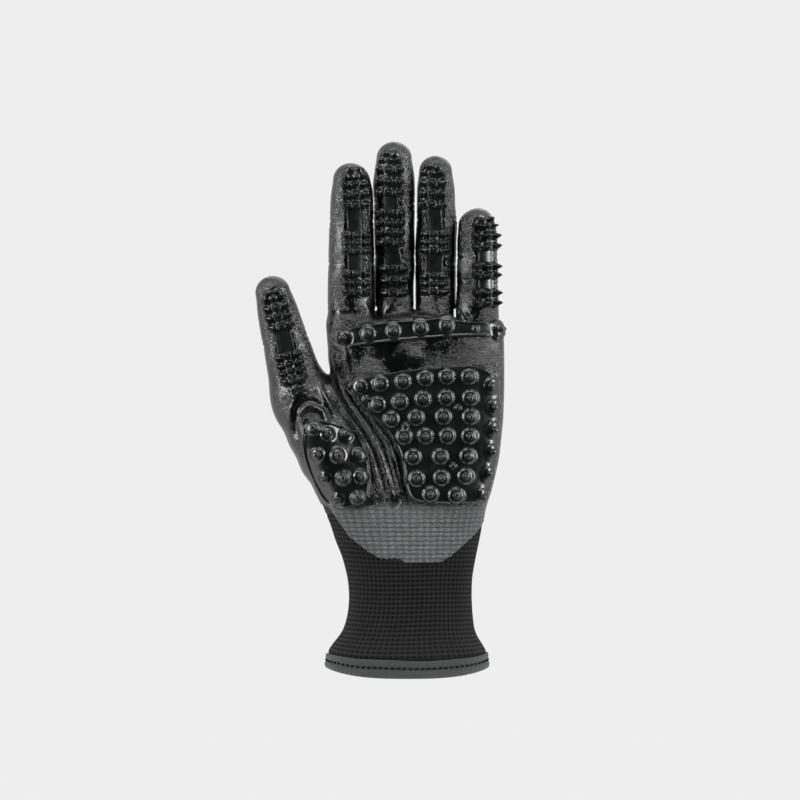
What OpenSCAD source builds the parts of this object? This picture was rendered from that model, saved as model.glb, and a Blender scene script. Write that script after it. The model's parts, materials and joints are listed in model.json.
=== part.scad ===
// Left-hand pet grooming glove: knitted liner, dipped coating and moulded rubber pads.
// Millimetres. Z runs up from the wrist opening along the fingers, the palm faces -Y.

/* [Hand] */
// Width across the palm
palm_width = 79.4; // [72:0.2:90]
// Thickness of the palm from front to back
palm_thickness = 32; // [28:0.5:38]
// Sideways lean of the thumb, in degrees
thumb_lean = 15; // [10:1:25]
// How far the little finger is turned outwards, in degrees
little_twist = 24; // [0:1:35]

/* [Layers] */
// Wall of the knitted liner
liner_wall = 1.1; // [0.8:0.1:1.6]
// Wall of the dipped coating
coat_wall = 0.6; // [0.4:0.1:1]
// Wall of the moulded pads
pad_wall = 1.2; // [0.8:0.1:2]
// Wall of the thin webs between the finger pads
web_wall = 0.7; // [0.5:0.1:1]
// Width of those webs
web_width = 7.4; // [5:0.2:9]
// Half of the angle that the coating covers on a finger
coat_reach = 112; // [95:1:135]

/* [Rubber nubs] */
// Height of a finger nub above its pad
finger_nub_height = 3.2; // [2:0.1:4]
// Diameter of a finger nub at its foot
finger_nub_foot = 3.2; // [2.4:0.1:3.6]
// Diameter of a finger nub at its tip
finger_nub_tip = 1; // [0.6:0.1:1.6]
// Distance between finger nubs
finger_nub_pitch = 4.1; // [3.8:0.1:4.6]
// Diameter of a palm nub's dome
palm_nub_dome = 7.6; // [6:0.1:8.4]
// Height of a palm nub above its pad
palm_nub_height = 4.4; // [3:0.1:5]
// Diameter of a palm nub's tip
palm_nub_tip = 2.6; // [2:0.1:3]

/* [Cuff] */
// Wall of the knitted cuff
cuff_wall = 1.8; // [1.2:0.1:2.4]
// Height of the binding round the wrist opening
binding_height = 6.2; // [5:0.2:9]
// Wall of the binding tape
binding_wall = 0.9; // [0.6:0.1:1.2]
// Distance from one stitch to the next
stitch_pitch = 2.7; // [2:0.1:4]

/* [Creases] */
// Space left between two segments at a crease
crease_gap = 0.4; // [0.2:0.1:0.8]

/* [Hidden] */
$fn = 48;
kx = palm_width / 79.4;
ky = palm_thickness / 32;
ring_n = 32;
nub_n = 8;
cuff_top = 74.6;
back_edge = 5;

// Outside of the hand: height, left edge, right edge, front depth, back depth, squareness
hand_rows = [
  [0, -36.4, 36.0, 27.5, 27.5, 2.1],
  [6, -35.6, 35.2, 27.0, 27.0, 2.1],
  [10, -34.2, 34.0, 25.6, 25.6, 2.1],
  [17, -31.2, 31.4, 23.0, 23.0, 2.1],
  [26, -28.4, 30.0, 21.2, 21.2, 2.1],
  [35, -27.3, 29.5, 20.6, 20.6, 2.1],
  [44, -27.7, 30.0, 20.6, 20.6, 2.15],
  [52, -29.6, 31.8, 20.4, 20.2, 2.2],
  [60, -32.0, 33.6, 20.0, 19.4, 2.2],
  [68, -34.2, 34.6, 19.4, 18.4, 2.25],
  [75, -36.0, 35.4, 18.8, 17.4, 2.3],
  [84, -37.4, 38.4, 18.4, 16.4, 2.35],
  [98, -38.0, 41.7, 17.8, 15.4, 2.45],
  [116, -36.0, 43.4, 17.2, 14.8, 2.6],
  [132, -35.0, 43.8, 16.2, 14.0, 2.8],
  [146, -35.2, 43.8, 15.0, 12.8, 3.0],
  [156, -36.0, 43.4, 13.8, 11.6, 3.3],
  [163.4, -36.6, 43.0, 12.9, 10.9, 3.6]
];

// Outside of the thumb mound, in the same columns
mound_rows = [
  [70, -33.6, -12, 15.0, 12.0, 2.1],
  [78, -38.0, -9, 17.6, 13.6, 2.1],
  [87, -43.4, -9, 19.6, 14.6, 2.1],
  [98, -49.8, -11, 21.0, 14.8, 2.1],
  [109, -54.6, -16, 20.6, 14.0, 2.1]
];

// A finger: x, y, turn of its pads at each segment, hinge twist,
// heights of the three creases and the tip, radii at those creases and at the dome
index_finger = [-25.5, -2, [13, 13, 11], 0, [165.3, 186.7, 206.1, 232.3], [10.4, 10.2, 9.6, 9.2]];
middle_finger = [-6, 1.5, [-2, -11, -14], 0, [167.3, 190.3, 214.3, 242.3], [8.6, 8.7, 9.0, 8.9]];
ring_finger = [12.9, 1.5, [-6, -5, -10], 0, [166.3, 186.7, 206.8, 235.9], [8.9, 8.8, 8.5, 8.3]];
little_finger = [31.8, -1, [24, 24, 24], little_twist, [161.3, 177.3, 189.7, 211.8], [9.5, 9.2, 8.9, 8.6]];
// The thumb, measured along its own leaning axis from its base crease
thumb = [0, 0, [-3, 0], 0, [0, 26.1, 56], [12, 9.8, 8.5]];
thumb_base = [-48.6, -6, 126.4];
dome_height = 13;

// Pads of one finger: from, to, rows of nubs, one entry per segment, measured like the creases
index_pads = [[171.9, 183.7, 3], [190.4, 201, 3], [211.1, 230.4, 4]];
middle_pads = [[171.5, 186.3, 3], [194.3, 211.5, 4], [217, 238.5, 4]];
ring_pads = [[172.2, 182.8, 3], [190.9, 201.8, 3], [211.5, 232.6, 4]];
little_pads = [[166.9, 175.3, 2], [179.4, 187.2, 2], [192.2, 208.5, 3]];
thumb_pads = [[6, 20.8, 4], [31.1, 50.8, 4]];

// Palm nubs: x, z
palm_nubs = [
  [-21.3, 130.7], [-12.1, 132.1], [-2, 133.1], [8, 134.5], [17.7, 135.3], [27.7, 135.3],
  [37.5, 131.3],
  [-13.4, 122.7], [-3.3, 123.9], [6.9, 125.1], [17.4, 125.7], [28.2, 125.7], [38.8, 121.5],
  [-7.2, 116], [3.9, 116.8], [16.1, 117.2], [28.2, 117.2], [38.6, 111.6],
  [-1.5, 108.2], [8.1, 108.5], [17.9, 108.5], [27.8, 108.5], [37.8, 101.4],
  [2.5, 99.1], [14.8, 99.3], [27, 99.5],
  [4.1, 89.3], [15.2, 89.7], [26, 90.4], [36.3, 91.4],
  [10.3, 82.3], [21.8, 81.8], [33.3, 81.5]
];
palm_dots = [[-25.4, 131.2], [-18.6, 125.2], [22.6, 121.2], [-0.9, 113.2], [20.5, 95]];
thenar_nubs = [
  [-42.1, 112], [-36.2, 109.3], [-27.7, 108.4], [-40.2, 100.2], [-31.7, 99.7], [-22.3, 99.7],
  [-36.6, 89.7], [-28.9, 89.9], [-21.4, 90.2], [-30.8, 80.3], [-22.3, 80.8]
];
knuckle_nubs = [[-28.2, 152.6], [-17.7, 154.6], [-6.3, 155.9], [5.9, 157.2], [17.7, 158.3], [40.9, 156.2]];

palm_pad_edge = [
  [-27.6, 133.6], [-12.5, 136.4], [4.8, 139], [23.9, 140.4], [31.2, 140.4], [37.6, 137.6], [41.2, 132],
  [41.4, 118.5], [40.4, 106], [39, 94], [36.8, 83.5], [33, 78.6], [28, 77.2],
  [4.8, 77.8], [0, 81], [-1.8, 90], [-2.4, 97], [-5.4, 104.7], [-11, 112],
  [-17.6, 118.4], [-24.9, 126.4], [-28, 130]
];
thenar_pad_edge = [
  [-46.4, 114.8], [-43, 116.4], [-30.3, 113.6], [-22, 110.6], [-18.6, 104.3], [-16.6, 95.2], [-16.6, 84],
  [-18.6, 76.4], [-30.3, 75.6], [-36.4, 78.3], [-43, 90.6], [-47.4, 104.3]
];
knuckle_pad_edge = [
  [-33.4, 152.4], [-31.6, 156], [-7.5, 160.2], [6.1, 161], [18.4, 162.4], [22, 160], [46, 160],
  [46, 152.4], [28.5, 153.3], [-5.2, 151], [-29.6, 147.8], [-32.6, 149.4]
];
coat_edge = [
  [-70, 77], [-35.5, 75], [-26.5, 62], [-18, 55.6], [-12, 52.4], [-6, 52.2], [-2.4, 50.4], [14.8, 50.8],
  [19.8, 53.6], [29.8, 62], [34.6, 67.4], [38, 72], [70, 74], [70, 170], [-70, 170]
];

knit = [0.09, 0.1, 0.1];
coat = [0.14, 0.17, 0.16];
rubber = [0.06, 0.07, 0.07];
tape = [0.27, 0.31, 0.3];
thread = [0.05, 0.06, 0.06];

// ---- Shape of the hand ----

function between(rows, z, k) = lookup(z, [for (r = rows) [r[0], r[k]]]);
function mid_x(rows, z) = kx * (between(rows, z, 1) + between(rows, z, 2)) / 2;
function half_x(rows, z) = kx * (between(rows, z, 2) - between(rows, z, 1)) / 2;
function signed_power(v, p) = sign(v) * pow(abs(v), p);

// One closed outline of the hand at height z, moved inwards by a distance
function outline(rows, z, inward) = [
  for (i = [0 : ring_n - 1])
    let (a = 360 * i / ring_n, p = 2 / between(rows, z, 5), s = sin(a))
      [mid_x(rows, z) + (half_x(rows, z) - inward) * signed_power(cos(a), p),
       (ky * between(rows, z, s < 0 ? 3 : 4) - inward) * signed_power(s, p)]
];

// Front surface of the hand at x, z
function front_y(rows, x, z) =
  -ky * between(rows, z, 3)
  * pow(max(0.02, 1 - pow(min(0.995, abs(x - mid_x(rows, z)) / half_x(rows, z)),
        between(rows, z, 5))), 1 / between(rows, z, 5));

function ring_at(rows, z, inward) = [for (p = outline(rows, z, inward)) [p[0], p[1], z]];

// A convex band between two closed rings of points
module band(low, high) {
  n = len(low);
  hull()
    polyhedron(
      points = concat(low, high),
      faces = concat(
        [[for (i = [0 : n - 1]) i], [for (i = [n - 1 : -1 : 0]) n + i]],
        [for (i = [0 : n - 1]) [(i + 1) % n, i, n + i]],
        [for (i = [0 : n - 1]) [(i + 1) % n, n + i, n + (i + 1) % n]]
      )
    );
}

// The hand as a solid, from one row to another
module body_solid(rows, from, to, inward) {
  for (i = [from : to - 1]) {
    band(ring_at(rows, rows[i][0], inward), ring_at(rows, rows[i + 1][0], inward));
  }
}

module on_thumb() {
  translate(thumb_base)
    rotate([0, -thumb_lean, 0])
      children();
}

// Rim of the thumb's base, where its first crease lies
function thumb_ring(r, h) = [
  for (i = [0 : ring_n - 1])
    let (a = 360 * i / ring_n, c = r * cos(a))
      [thumb_base[0] + c * cos(thumb_lean) - h * sin(thumb_lean), thumb_base[1] + r * sin(a),
       thumb_base[2] + c * sin(thumb_lean) + h * cos(thumb_lean)]
];

module mound_solid(inward, open) {
  body_solid(mound_rows, 0, 4, inward);
  intersection() {
    band(ring_at(mound_rows, 109, inward), thumb_ring(thumb[5][0] - inward, 1));
    on_thumb()
      translate([-80, -80, -100 + (open ? 20 : -crease_gap / 2)])
        cube([160, 160, 100]);
  }
}

// Cuts the top of the hand to the bases of the fingers
module below_fingers(inward) {
  rotate([90, 0, 0])
    translate([0, 0, -40])
      linear_extrude(80)
        polygon([
          [-90, 40], [90, 40], [90, 160.2 - inward], [22 * kx - inward, 160.2 - inward],
          [22 * kx - inward, 163.3 - inward], [-90, 163.3 - inward]
        ]);
}

// The hand without its fingers; a hollow is carried past the thumb's base so that it is open there
module hand_solid(inward, open = false) {
  intersection() {
    body_solid(hand_rows, 6, 17, inward);
    below_fingers(inward);
  }
  mound_solid(inward, open);
}

// ---- Fingers ----

function finger_radius(f, z) =
  let (n = len(f[4]) - 1, dome = f[4][n] - dome_height, zz = min(z, dome))
    lookup(zz, [for (i = [0 : n]) [i < n ? f[4][i] : dome, f[5][i]]])
    * (z > dome ? sqrt(max(0, 1 - pow((z - dome) / dome_height, 2))) : 1);

function steps(from, to, n) = [for (i = [0 : n]) from + (to - from) * i / n];

// Wall profile of a segment between two depths below the outer surface
function wall_profile(f, from, to, outer, inner) =
  let (hs = steps(from, to, 4))
    concat([for (z = hs) [finger_radius(f, z) - outer, z]],
           [for (i = [4 : -1 : 0]) [finger_radius(f, hs[i]) - inner, hs[i]]]);

// Outline of a closed fingertip, moved inwards
function tip_line(f, from, inward) =
  let (n = len(f[4]) - 1, dome = f[4][n] - dome_height, rd = f[5][n])
    concat([[finger_radius(f, from) - inward, from], [rd - inward, dome]],
           [for (a = [15 : 15 : 75]) [(rd - inward) * cos(a), dome + (dome_height - inward) * sin(a)]],
           [[0, f[4][n] - inward]]);

function backwards(list) = [for (i = [len(list) - 1 : -1 : 0]) list[i]];

module finger_shell(f, seg, outer, inner, reach, turn) {
  n = len(f[4]) - 2;
  from = f[4][seg] + crease_gap / 2;
  to = f[4][seg + 1] - crease_gap / 2;
  profile = seg < n ? wall_profile(f, from, to, outer, inner)
                    : concat(tip_line(f, from, outer), backwards(tip_line(f, from, inner)));
  translate([kx * f[0], f[1], 0])
    rotate([0, 0, -90 - reach + turn])
      rotate_extrude(angle = 2 * reach)
        polygon(profile);
}

module finger_liner(f, seg) {
  finger_shell(f, seg, coat_wall, coat_wall + liner_wall, 180, 0);
}

module finger_coat(f, seg) {
  finger_shell(f, seg, 0, coat_wall, coat_reach, f[3]);
}

// A patch of rubber on the front of a finger, from and to along it, chord wide
module patch(f, from, to, chord, lift, wall, turn) {
  half = asin(min(0.95, chord / 2 / finger_radius(f, from)));
  hs = steps(from, to, to > f[4][len(f[4]) - 1] - dome_height ? 8 : 1);
  n = len(hs) - 1;
  rotate([0, 0, -90 - half + turn])
    rotate_extrude(angle = 2 * half, $fn = 28)
      polygon(concat(
        [for (z = hs) [finger_radius(f, z) + lift, z]],
        [for (i = [n : -1 : 0]) [finger_radius(f, hs[i]) + wall, hs[i]]]
      ));
}

module on_finger(f, z, side, turn) {
  n = len(f[4]) - 1;
  over = max(0, z - (f[4][n] - dome_height)) / dome_height;
  rotate([0, 0, -90 + turn + side])
    translate([finger_radius(f, z) + pad_wall - 0.35, 0, z])
      rotate([0, 90 - 50 * over * over, 0])
        children();
}

// Where a pad has only two rows of nubs they are round cones
module finger_nub(size, plain) {
  h = finger_nub_height * size + 0.35;
  if (plain) {
    cylinder(d1 = finger_nub_foot * size, d2 = finger_nub_tip, h = h, $fn = 16);
  } else {
    hull() cylinder(d1 = finger_nub_foot * size, d2 = finger_nub_tip, h = h, $fn = 6);
  }
}

module finger_pad(f, pads, seg) {
  n = len(f[4]) - 2;
  p = pads[seg];
  turn = f[2][seg];
  tip = seg == n;
  low = f[4][seg] + 1.1;
  high = f[4][seg + 1] - 1.1;
  step = finger_nub_pitch;
  side = step / finger_radius(f, p[0]) * 57.3;
  pitch = (p[1] - p[0] - (tip ? 7.1 : 3.8)) / (p[2] - 1);
  translate([kx * f[0], f[1], 0]) {
    patch(f, p[0], tip ? p[1] - 0.4 : p[1], 12.4, tip ? 0.28 : 0.1, pad_wall, turn);
    patch(f, low, p[0] + 0.3, web_width, 0.14, web_wall, turn);
    if (!tip) patch(f, p[1] - 0.3, high, web_width, 0.14, web_wall, turn);
    for (row = [0 : p[2] - 1]) {
      for (col = [-1 : 1]) {
        on_finger(f, p[0] + 1.9 + row * pitch, col * side, turn) finger_nub(1, p[2] < 3);
      }
    }
    if (tip) {
      for (col = [-0.5, 0.5]) {
        on_finger(f, p[1] - 2.3, col * side * 1.2, turn) finger_nub(0.8, false);
      }
    }
  }
}

// ---- Pads on the hand ----

function to_dir(v) = [0, acos(v[2] / norm(v)), atan2(v[1], v[0])];

// Direction that the front surface faces
function facing(rows, x, z) = [
  (front_y(rows, x + 0.5, z) - front_y(rows, x - 0.5, z)), -1,
  (front_y(rows, x, z + 0.5) - front_y(rows, x, z - 0.5))
];

module on_front(rows, p) {
  x = kx * p[0];
  translate([x, front_y(rows, x, p[1]), p[1]])
    rotate(to_dir(facing(rows, x, p[1])))
      children();
}

module big_nub(dome, height, tip) {
  rotate_extrude($fn = nub_n)
    polygon([
      [0, 0.4], [dome / 2, 0.4], [dome / 2 - 0.3, pad_wall + 0.5], [dome / 2 - 1.5, pad_wall + 1.4],
      [tip / 2 + 0.2, pad_wall + 1.7], [tip / 2, pad_wall + height - 0.6], [0, pad_wall + height]
    ]);
}

module dot(height) {
  translate([0, 0, 0.4])
    cylinder(d1 = 4, d2 = 1.6, h = height + pad_wall - 0.4, $fn = nub_n);
}

// A sheet of rubber over the front of the hand, inside an outline
module front_sheet(rows, first, last, edge, wall, back) {
  intersection() {
    difference() {
      body_solid(rows, first, last, -wall);
      body_solid(rows, first, last, -0.03);
    }
    rotate([90, 0, 0])
      translate([0, 0, back])
        linear_extrude(60)
          polygon([for (p = edge) [kx * p[0], p[1]]]);
  }
}

// ---- The nodes ----

module hand_liner() {
  color(knit)
    difference() {
      union() {
        intersection() {
          hand_solid(coat_wall);
          translate([-100, -50, cuff_top]) cube([200, 100, 100]);
        }
        for (f = [index_finger, middle_finger, ring_finger, little_finger]) {
          translate([kx * f[0], f[1], f[4][0] - 8])
            cylinder(r = f[5][0] - coat_wall, h = 8 - crease_gap / 2);
        }
      }
      hand_solid(coat_wall + liner_wall, true);
      for (f = [index_finger, middle_finger, ring_finger, little_finger]) {
        translate([kx * f[0], f[1], f[4][0] - 12])
          cylinder(r = f[5][0] - coat_wall - liner_wall, h = 20);
      }
    }
}

module palm_coating() {
  color(coat)
    difference() {
      union() {
        intersection() {
          hand_solid(0);
          rotate([90, 0, 0])
            translate([0, 0, -back_edge])
              linear_extrude(60)
                polygon(coat_edge);
        }
        for (f = [index_finger, middle_finger, ring_finger, little_finger]) {
          translate([kx * f[0], f[1], f[4][0] - 9])
            rotate([0, 0, -90 - coat_reach + f[3]])
              rotate_extrude(angle = 2 * coat_reach)
                square([f[5][0], 9 - crease_gap / 2]);
        }
      }
      hand_solid(coat_wall, true);
      for (f = [index_finger, middle_finger, ring_finger, little_finger]) {
        translate([kx * f[0], f[1], f[4][0] - 12])
          cylinder(r = f[5][0] - coat_wall, h = 20);
      }
    }
}

module knuckle_pad() {
  color(rubber) {
    front_sheet(hand_rows, 14, 17, knuckle_pad_edge, pad_wall + 0.5, 0.5);
    for (p = knuckle_nubs) {
      on_front(hand_rows, p)
        big_nub(palm_nub_dome * 0.96, palm_nub_height, palm_nub_tip);
    }
    on_front(hand_rows, [30.3, 156.6])
      dot(1.8);
  }
}

module palm_pad() {
  color(rubber) {
    front_sheet(hand_rows, 10, 15, palm_pad_edge, pad_wall, 2.5);
    for (p = palm_nubs) {
      on_front(hand_rows, p)
        big_nub(palm_nub_dome, palm_nub_height, palm_nub_tip);
    }
    for (p = palm_dots) {
      on_front(hand_rows, p)
        dot(1.2);
    }
  }
}

module thenar_pad() {
  color(rubber)
    difference() {
      union() {
        front_sheet(mound_rows, 0, 4, thenar_pad_edge, pad_wall, 4);
        for (p = thenar_nubs) {
          on_front(mound_rows, p)
            big_nub(palm_nub_dome * 0.9, palm_nub_height * 0.95, palm_nub_tip);
        }
      }
      hand_solid(-0.03);
    }
}

module cuff() {
  color(knit)
    difference() {
      intersection() {
        body_solid(hand_rows, 0, 10, coat_wall);
        translate([-100, -50, binding_wall + 0.1]) cube([200, 100, cuff_top - binding_wall - 0.2]);
      }
      body_solid(hand_rows, 0, 10, coat_wall + cuff_wall);
    }
}

// The binding is a folded tape: it covers the outside, the edge and the inside of the cuff
module binding_ring(from, to, outer, inner) {
  translate([0, 0, from])
    linear_extrude(to - from)
      difference() {
        polygon(outline(hand_rows, 3, outer));
        polygon(outline(hand_rows, 3, inner));
      }
}

module cuff_binding() {
  color(tape) {
    binding_ring(0, binding_height, -0.3 - binding_wall, -0.3);
    binding_ring(0, binding_wall, -0.4, coat_wall + cuff_wall + 0.9);
    binding_ring(0, binding_height, coat_wall + cuff_wall + 0.8, coat_wall + cuff_wall + 0.8 + binding_wall);
  }
}

module cuff_stitching() {
  a = half_x(hand_rows, 3) + 0.3 + binding_wall;
  b = between(hand_rows, 3, 3) * ky + 0.3 + binding_wall;
  n = round(3.1416 * (a + b) / stitch_pitch);
  color(thread)
    for (i = [0 : n - 1]) {
      t = 360 * i / n;
      x = a * signed_power(cos(t), 2 / 2.1);
      y = b * signed_power(sin(t), 2 / 2.1);
      translate([mid_x(hand_rows, 3) + x, y, 3.3])
        rotate([0, 0, atan2(y / b / b, x / a / a)])
          rotate([90, 0, 0])
            cylinder(r = 0.35, h = stitch_pitch * 0.62, center = true, $fn = 16);
    }
}

module index_proximal_liner() { color(knit) finger_liner(index_finger, 0); }
module index_proximal_coating() { color(coat) finger_coat(index_finger, 0); }
module index_proximal_pad() { color(rubber) finger_pad(index_finger, index_pads, 0); }
module index_middle_liner() { color(knit) finger_liner(index_finger, 1); }
module index_middle_coating() { color(coat) finger_coat(index_finger, 1); }
module index_middle_pad() { color(rubber) finger_pad(index_finger, index_pads, 1); }
module index_tip_liner() { color(knit) finger_liner(index_finger, 2); }
module index_tip_coating() { color(coat) finger_coat(index_finger, 2); }
module index_tip_pad() { color(rubber) finger_pad(index_finger, index_pads, 2); }

module middle_proximal_liner() { color(knit) finger_liner(middle_finger, 0); }
module middle_proximal_coating() { color(coat) finger_coat(middle_finger, 0); }
module middle_proximal_pad() { color(rubber) finger_pad(middle_finger, middle_pads, 0); }
module middle_middle_liner() { color(knit) finger_liner(middle_finger, 1); }
module middle_middle_coating() { color(coat) finger_coat(middle_finger, 1); }
module middle_middle_pad() { color(rubber) finger_pad(middle_finger, middle_pads, 1); }
module middle_tip_liner() { color(knit) finger_liner(middle_finger, 2); }
module middle_tip_coating() { color(coat) finger_coat(middle_finger, 2); }
module middle_tip_pad() { color(rubber) finger_pad(middle_finger, middle_pads, 2); }

module ring_proximal_liner() { color(knit) finger_liner(ring_finger, 0); }
module ring_proximal_coating() { color(coat) finger_coat(ring_finger, 0); }
module ring_proximal_pad() { color(rubber) finger_pad(ring_finger, ring_pads, 0); }
module ring_middle_liner() { color(knit) finger_liner(ring_finger, 1); }
module ring_middle_coating() { color(coat) finger_coat(ring_finger, 1); }
module ring_middle_pad() { color(rubber) finger_pad(ring_finger, ring_pads, 1); }
module ring_tip_liner() { color(knit) finger_liner(ring_finger, 2); }
module ring_tip_coating() { color(coat) finger_coat(ring_finger, 2); }
module ring_tip_pad() { color(rubber) finger_pad(ring_finger, ring_pads, 2); }

module little_proximal_liner() { color(knit) finger_liner(little_finger, 0); }
module little_proximal_coating() { color(coat) finger_coat(little_finger, 0); }
module little_proximal_pad() { color(rubber) finger_pad(little_finger, little_pads, 0); }
module little_middle_liner() { color(knit) finger_liner(little_finger, 1); }
module little_middle_coating() { color(coat) finger_coat(little_finger, 1); }
module little_middle_pad() { color(rubber) finger_pad(little_finger, little_pads, 1); }
module little_tip_liner() { color(knit) finger_liner(little_finger, 2); }
module little_tip_coating() { color(coat) finger_coat(little_finger, 2); }
module little_tip_pad() { color(rubber) finger_pad(little_finger, little_pads, 2); }

module thumb_proximal_liner() { color(knit) on_thumb() finger_liner(thumb, 0); }
module thumb_proximal_coating() { color(coat) on_thumb() finger_coat(thumb, 0); }
module thumb_proximal_pad() { color(rubber) on_thumb() finger_pad(thumb, thumb_pads, 0); }
module thumb_tip_liner() { color(knit) on_thumb() finger_liner(thumb, 1); }
module thumb_tip_coating() { color(coat) on_thumb() finger_coat(thumb, 1); }
module thumb_tip_pad() { color(rubber) on_thumb() finger_pad(thumb, thumb_pads, 1); }

// ---- Assembly ----

hand_liner();
palm_coating();
knuckle_pad();
palm_pad();
thenar_pad();
cuff();
cuff_binding();
cuff_stitching();
index_proximal_liner();
index_proximal_coating();
index_proximal_pad();
index_middle_liner();
index_middle_coating();
index_middle_pad();
index_tip_liner();
index_tip_coating();
index_tip_pad();
middle_proximal_liner();
middle_proximal_coating();
middle_proximal_pad();
middle_middle_liner();
middle_middle_coating();
middle_middle_pad();
middle_tip_liner();
middle_tip_coating();
middle_tip_pad();
ring_proximal_liner();
ring_proximal_coating();
ring_proximal_pad();
ring_middle_liner();
ring_middle_coating();
ring_middle_pad();
ring_tip_liner();
ring_tip_coating();
ring_tip_pad();
little_proximal_liner();
little_proximal_coating();
little_proximal_pad();
little_middle_liner();
little_middle_coating();
little_middle_pad();
little_tip_liner();
little_tip_coating();
little_tip_pad();
thumb_proximal_liner();
thumb_proximal_coating();
thumb_proximal_pad();
thumb_tip_liner();
thumb_tip_coating();
thumb_tip_pad();
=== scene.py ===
import json
import math

import bpy
import numpy as np
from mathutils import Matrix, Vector


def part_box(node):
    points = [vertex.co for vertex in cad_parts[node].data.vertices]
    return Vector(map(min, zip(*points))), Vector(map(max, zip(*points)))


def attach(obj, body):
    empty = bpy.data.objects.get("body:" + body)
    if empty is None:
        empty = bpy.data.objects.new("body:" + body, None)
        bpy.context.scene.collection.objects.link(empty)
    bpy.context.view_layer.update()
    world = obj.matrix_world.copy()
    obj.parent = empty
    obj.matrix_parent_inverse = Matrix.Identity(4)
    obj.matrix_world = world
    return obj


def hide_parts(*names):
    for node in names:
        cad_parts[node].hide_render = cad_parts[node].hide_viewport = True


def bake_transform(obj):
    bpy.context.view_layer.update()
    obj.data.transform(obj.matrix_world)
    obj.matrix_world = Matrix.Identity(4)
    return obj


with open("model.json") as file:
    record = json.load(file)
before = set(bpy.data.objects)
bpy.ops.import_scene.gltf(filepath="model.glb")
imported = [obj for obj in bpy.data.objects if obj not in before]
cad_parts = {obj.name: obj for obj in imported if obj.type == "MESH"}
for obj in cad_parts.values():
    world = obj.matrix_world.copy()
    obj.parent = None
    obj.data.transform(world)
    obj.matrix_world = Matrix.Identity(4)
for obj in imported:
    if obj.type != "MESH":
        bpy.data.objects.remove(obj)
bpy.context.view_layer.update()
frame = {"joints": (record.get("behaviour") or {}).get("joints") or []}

rng = np.random.default_rng(11)
JOINTS = {j["child"]: j for j in frame["joints"]}

# ---------------------------------------------------------------------------
# Shape of the hand, in millimetres, as in the part: z, left, right, front, back, squareness

HAND_ROWS = [
    [-4, -36.8, 36.4, 27.8, 27.8, 2.1], [0, -36.4, 36.0, 27.5, 27.5, 2.1],
    [6, -35.6, 35.2, 27.0, 27.0, 2.1], [10, -34.2, 34.0, 25.6, 25.6, 2.1],
    [17, -31.2, 31.4, 23.0, 23.0, 2.1],
    [26, -28.4, 30.0, 21.2, 21.2, 2.1], [35, -27.3, 29.5, 20.6, 20.6, 2.1],
    [44, -27.7, 30.0, 20.6, 20.6, 2.15], [52, -29.6, 31.8, 20.4, 20.2, 2.2],
    [60, -32.0, 33.6, 20.0, 19.4, 2.2], [68, -34.2, 34.6, 19.4, 18.4, 2.25],
    [75, -35.6, 35.4, 18.8, 17.4, 2.3], [84, -36.2, 38.4, 18.4, 16.4, 2.35],
    [98, -36.6, 41.7, 17.8, 15.4, 2.4], [116, -35.6, 43.6, 17.0, 14.8, 2.45],
    [132, -34.6, 44.1, 16.0, 14.0, 2.5], [146, -34.9, 44.0, 14.8, 12.8, 2.6],
    [156, -36.0, 43.6, 13.6, 11.6, 2.7], [163.4, -36.8, 43.2, 12.7, 10.9, 2.7],
]
# The ball of the thumb: x, y, z and radius
MOUND = [
    [-20.5, -1.5, 70, 11.4], [-24.8, -2.5, 80, 12.3], [-29.6, -3.2, 89, 13.2],
    [-35.4, -3.8, 99, 13.8], [-41.2, -4.6, 110.5, 13.6], [-48.2, -6, 125.5, 11.9],
]
# Height of the palm's upper end
TOP_X = [-45, -15, 3.3, 13, 22, 30, 48]
TOP_Z = [161.5, 161.5, 163.5, 163, 158.5, 157.5, 157]
# Lower edge of the coating, then the nubs and the outlines of the large pads: x and z
COAT_EDGE = [
    [-70, 77], [-37, 76], [-35, 74], [-26.5, 62], [-18, 55.6], [-12, 52.4], [-6, 52.2], [-3.4, 51.9],
    [-1.6, 50.5], [14.8, 50.8], [19.8, 53.6], [29.8, 62], [34.6, 67.4], [38, 72], [70, 74],
]
PALM_NUBS = [
    [-21.3, 130.7], [-12.1, 132.1], [-2, 133.1], [8, 134.5], [17.7, 135.3], [27.7, 135.3], [37.5, 131.3],
    [-13.4, 122.7], [-3.3, 123.9], [6.9, 125.1], [17.4, 125.7], [28.2, 125.7], [38.8, 121.5],
    [-7.2, 116], [3.9, 116.8], [16.1, 117.2], [28.2, 117.2], [38.6, 111.6],
    [-1.5, 108.2], [8.1, 108.5], [17.9, 108.5], [27.8, 108.5], [37.8, 101.4],
    [2.5, 99.1], [14.8, 99.3], [27, 99.5],
    [4.1, 89.3], [15.2, 89.7], [26, 90.4], [36.3, 91.4],
    [10.3, 82.3], [21.8, 81.8], [33.3, 81.5],
]
PALM_DOTS = [[-25.4, 131.2], [-18.6, 125.2], [22.6, 121.2], [-0.9, 113.2], [20.5, 95]]
THENAR_NUBS = [
    [-42.1, 112], [-36.2, 109.3], [-27.7, 108.4], [-40.2, 100.2], [-31.7, 99.7], [-22.3, 99.7],
    [-36.6, 89.7], [-28.9, 89.9], [-21.4, 90.2], [-30.8, 80.3], [-22.3, 80.8],
]
KNUCKLE_NUBS = [[-28.2, 152.6], [-17.7, 154.6], [-6.3, 155.9], [5.9, 157.2], [17.7, 158.3], [40.9, 156.2]]
PALM_EDGE = [
    [-27.6, 133.6], [-12.5, 136.4], [4.8, 139], [23.9, 140.4], [31.2, 140.4], [37.6, 137.6], [41.2, 132],
    [41.4, 118.5], [40.4, 106], [39, 94], [36.8, 83.5], [33, 78.6], [26, 77.2], [4.8, 77.8], [0, 81],
    [-1.8, 90], [-2.4, 97], [-5.4, 104.7], [-11, 112], [-17.6, 118.4], [-24.9, 126.4], [-28, 130],
]
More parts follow.
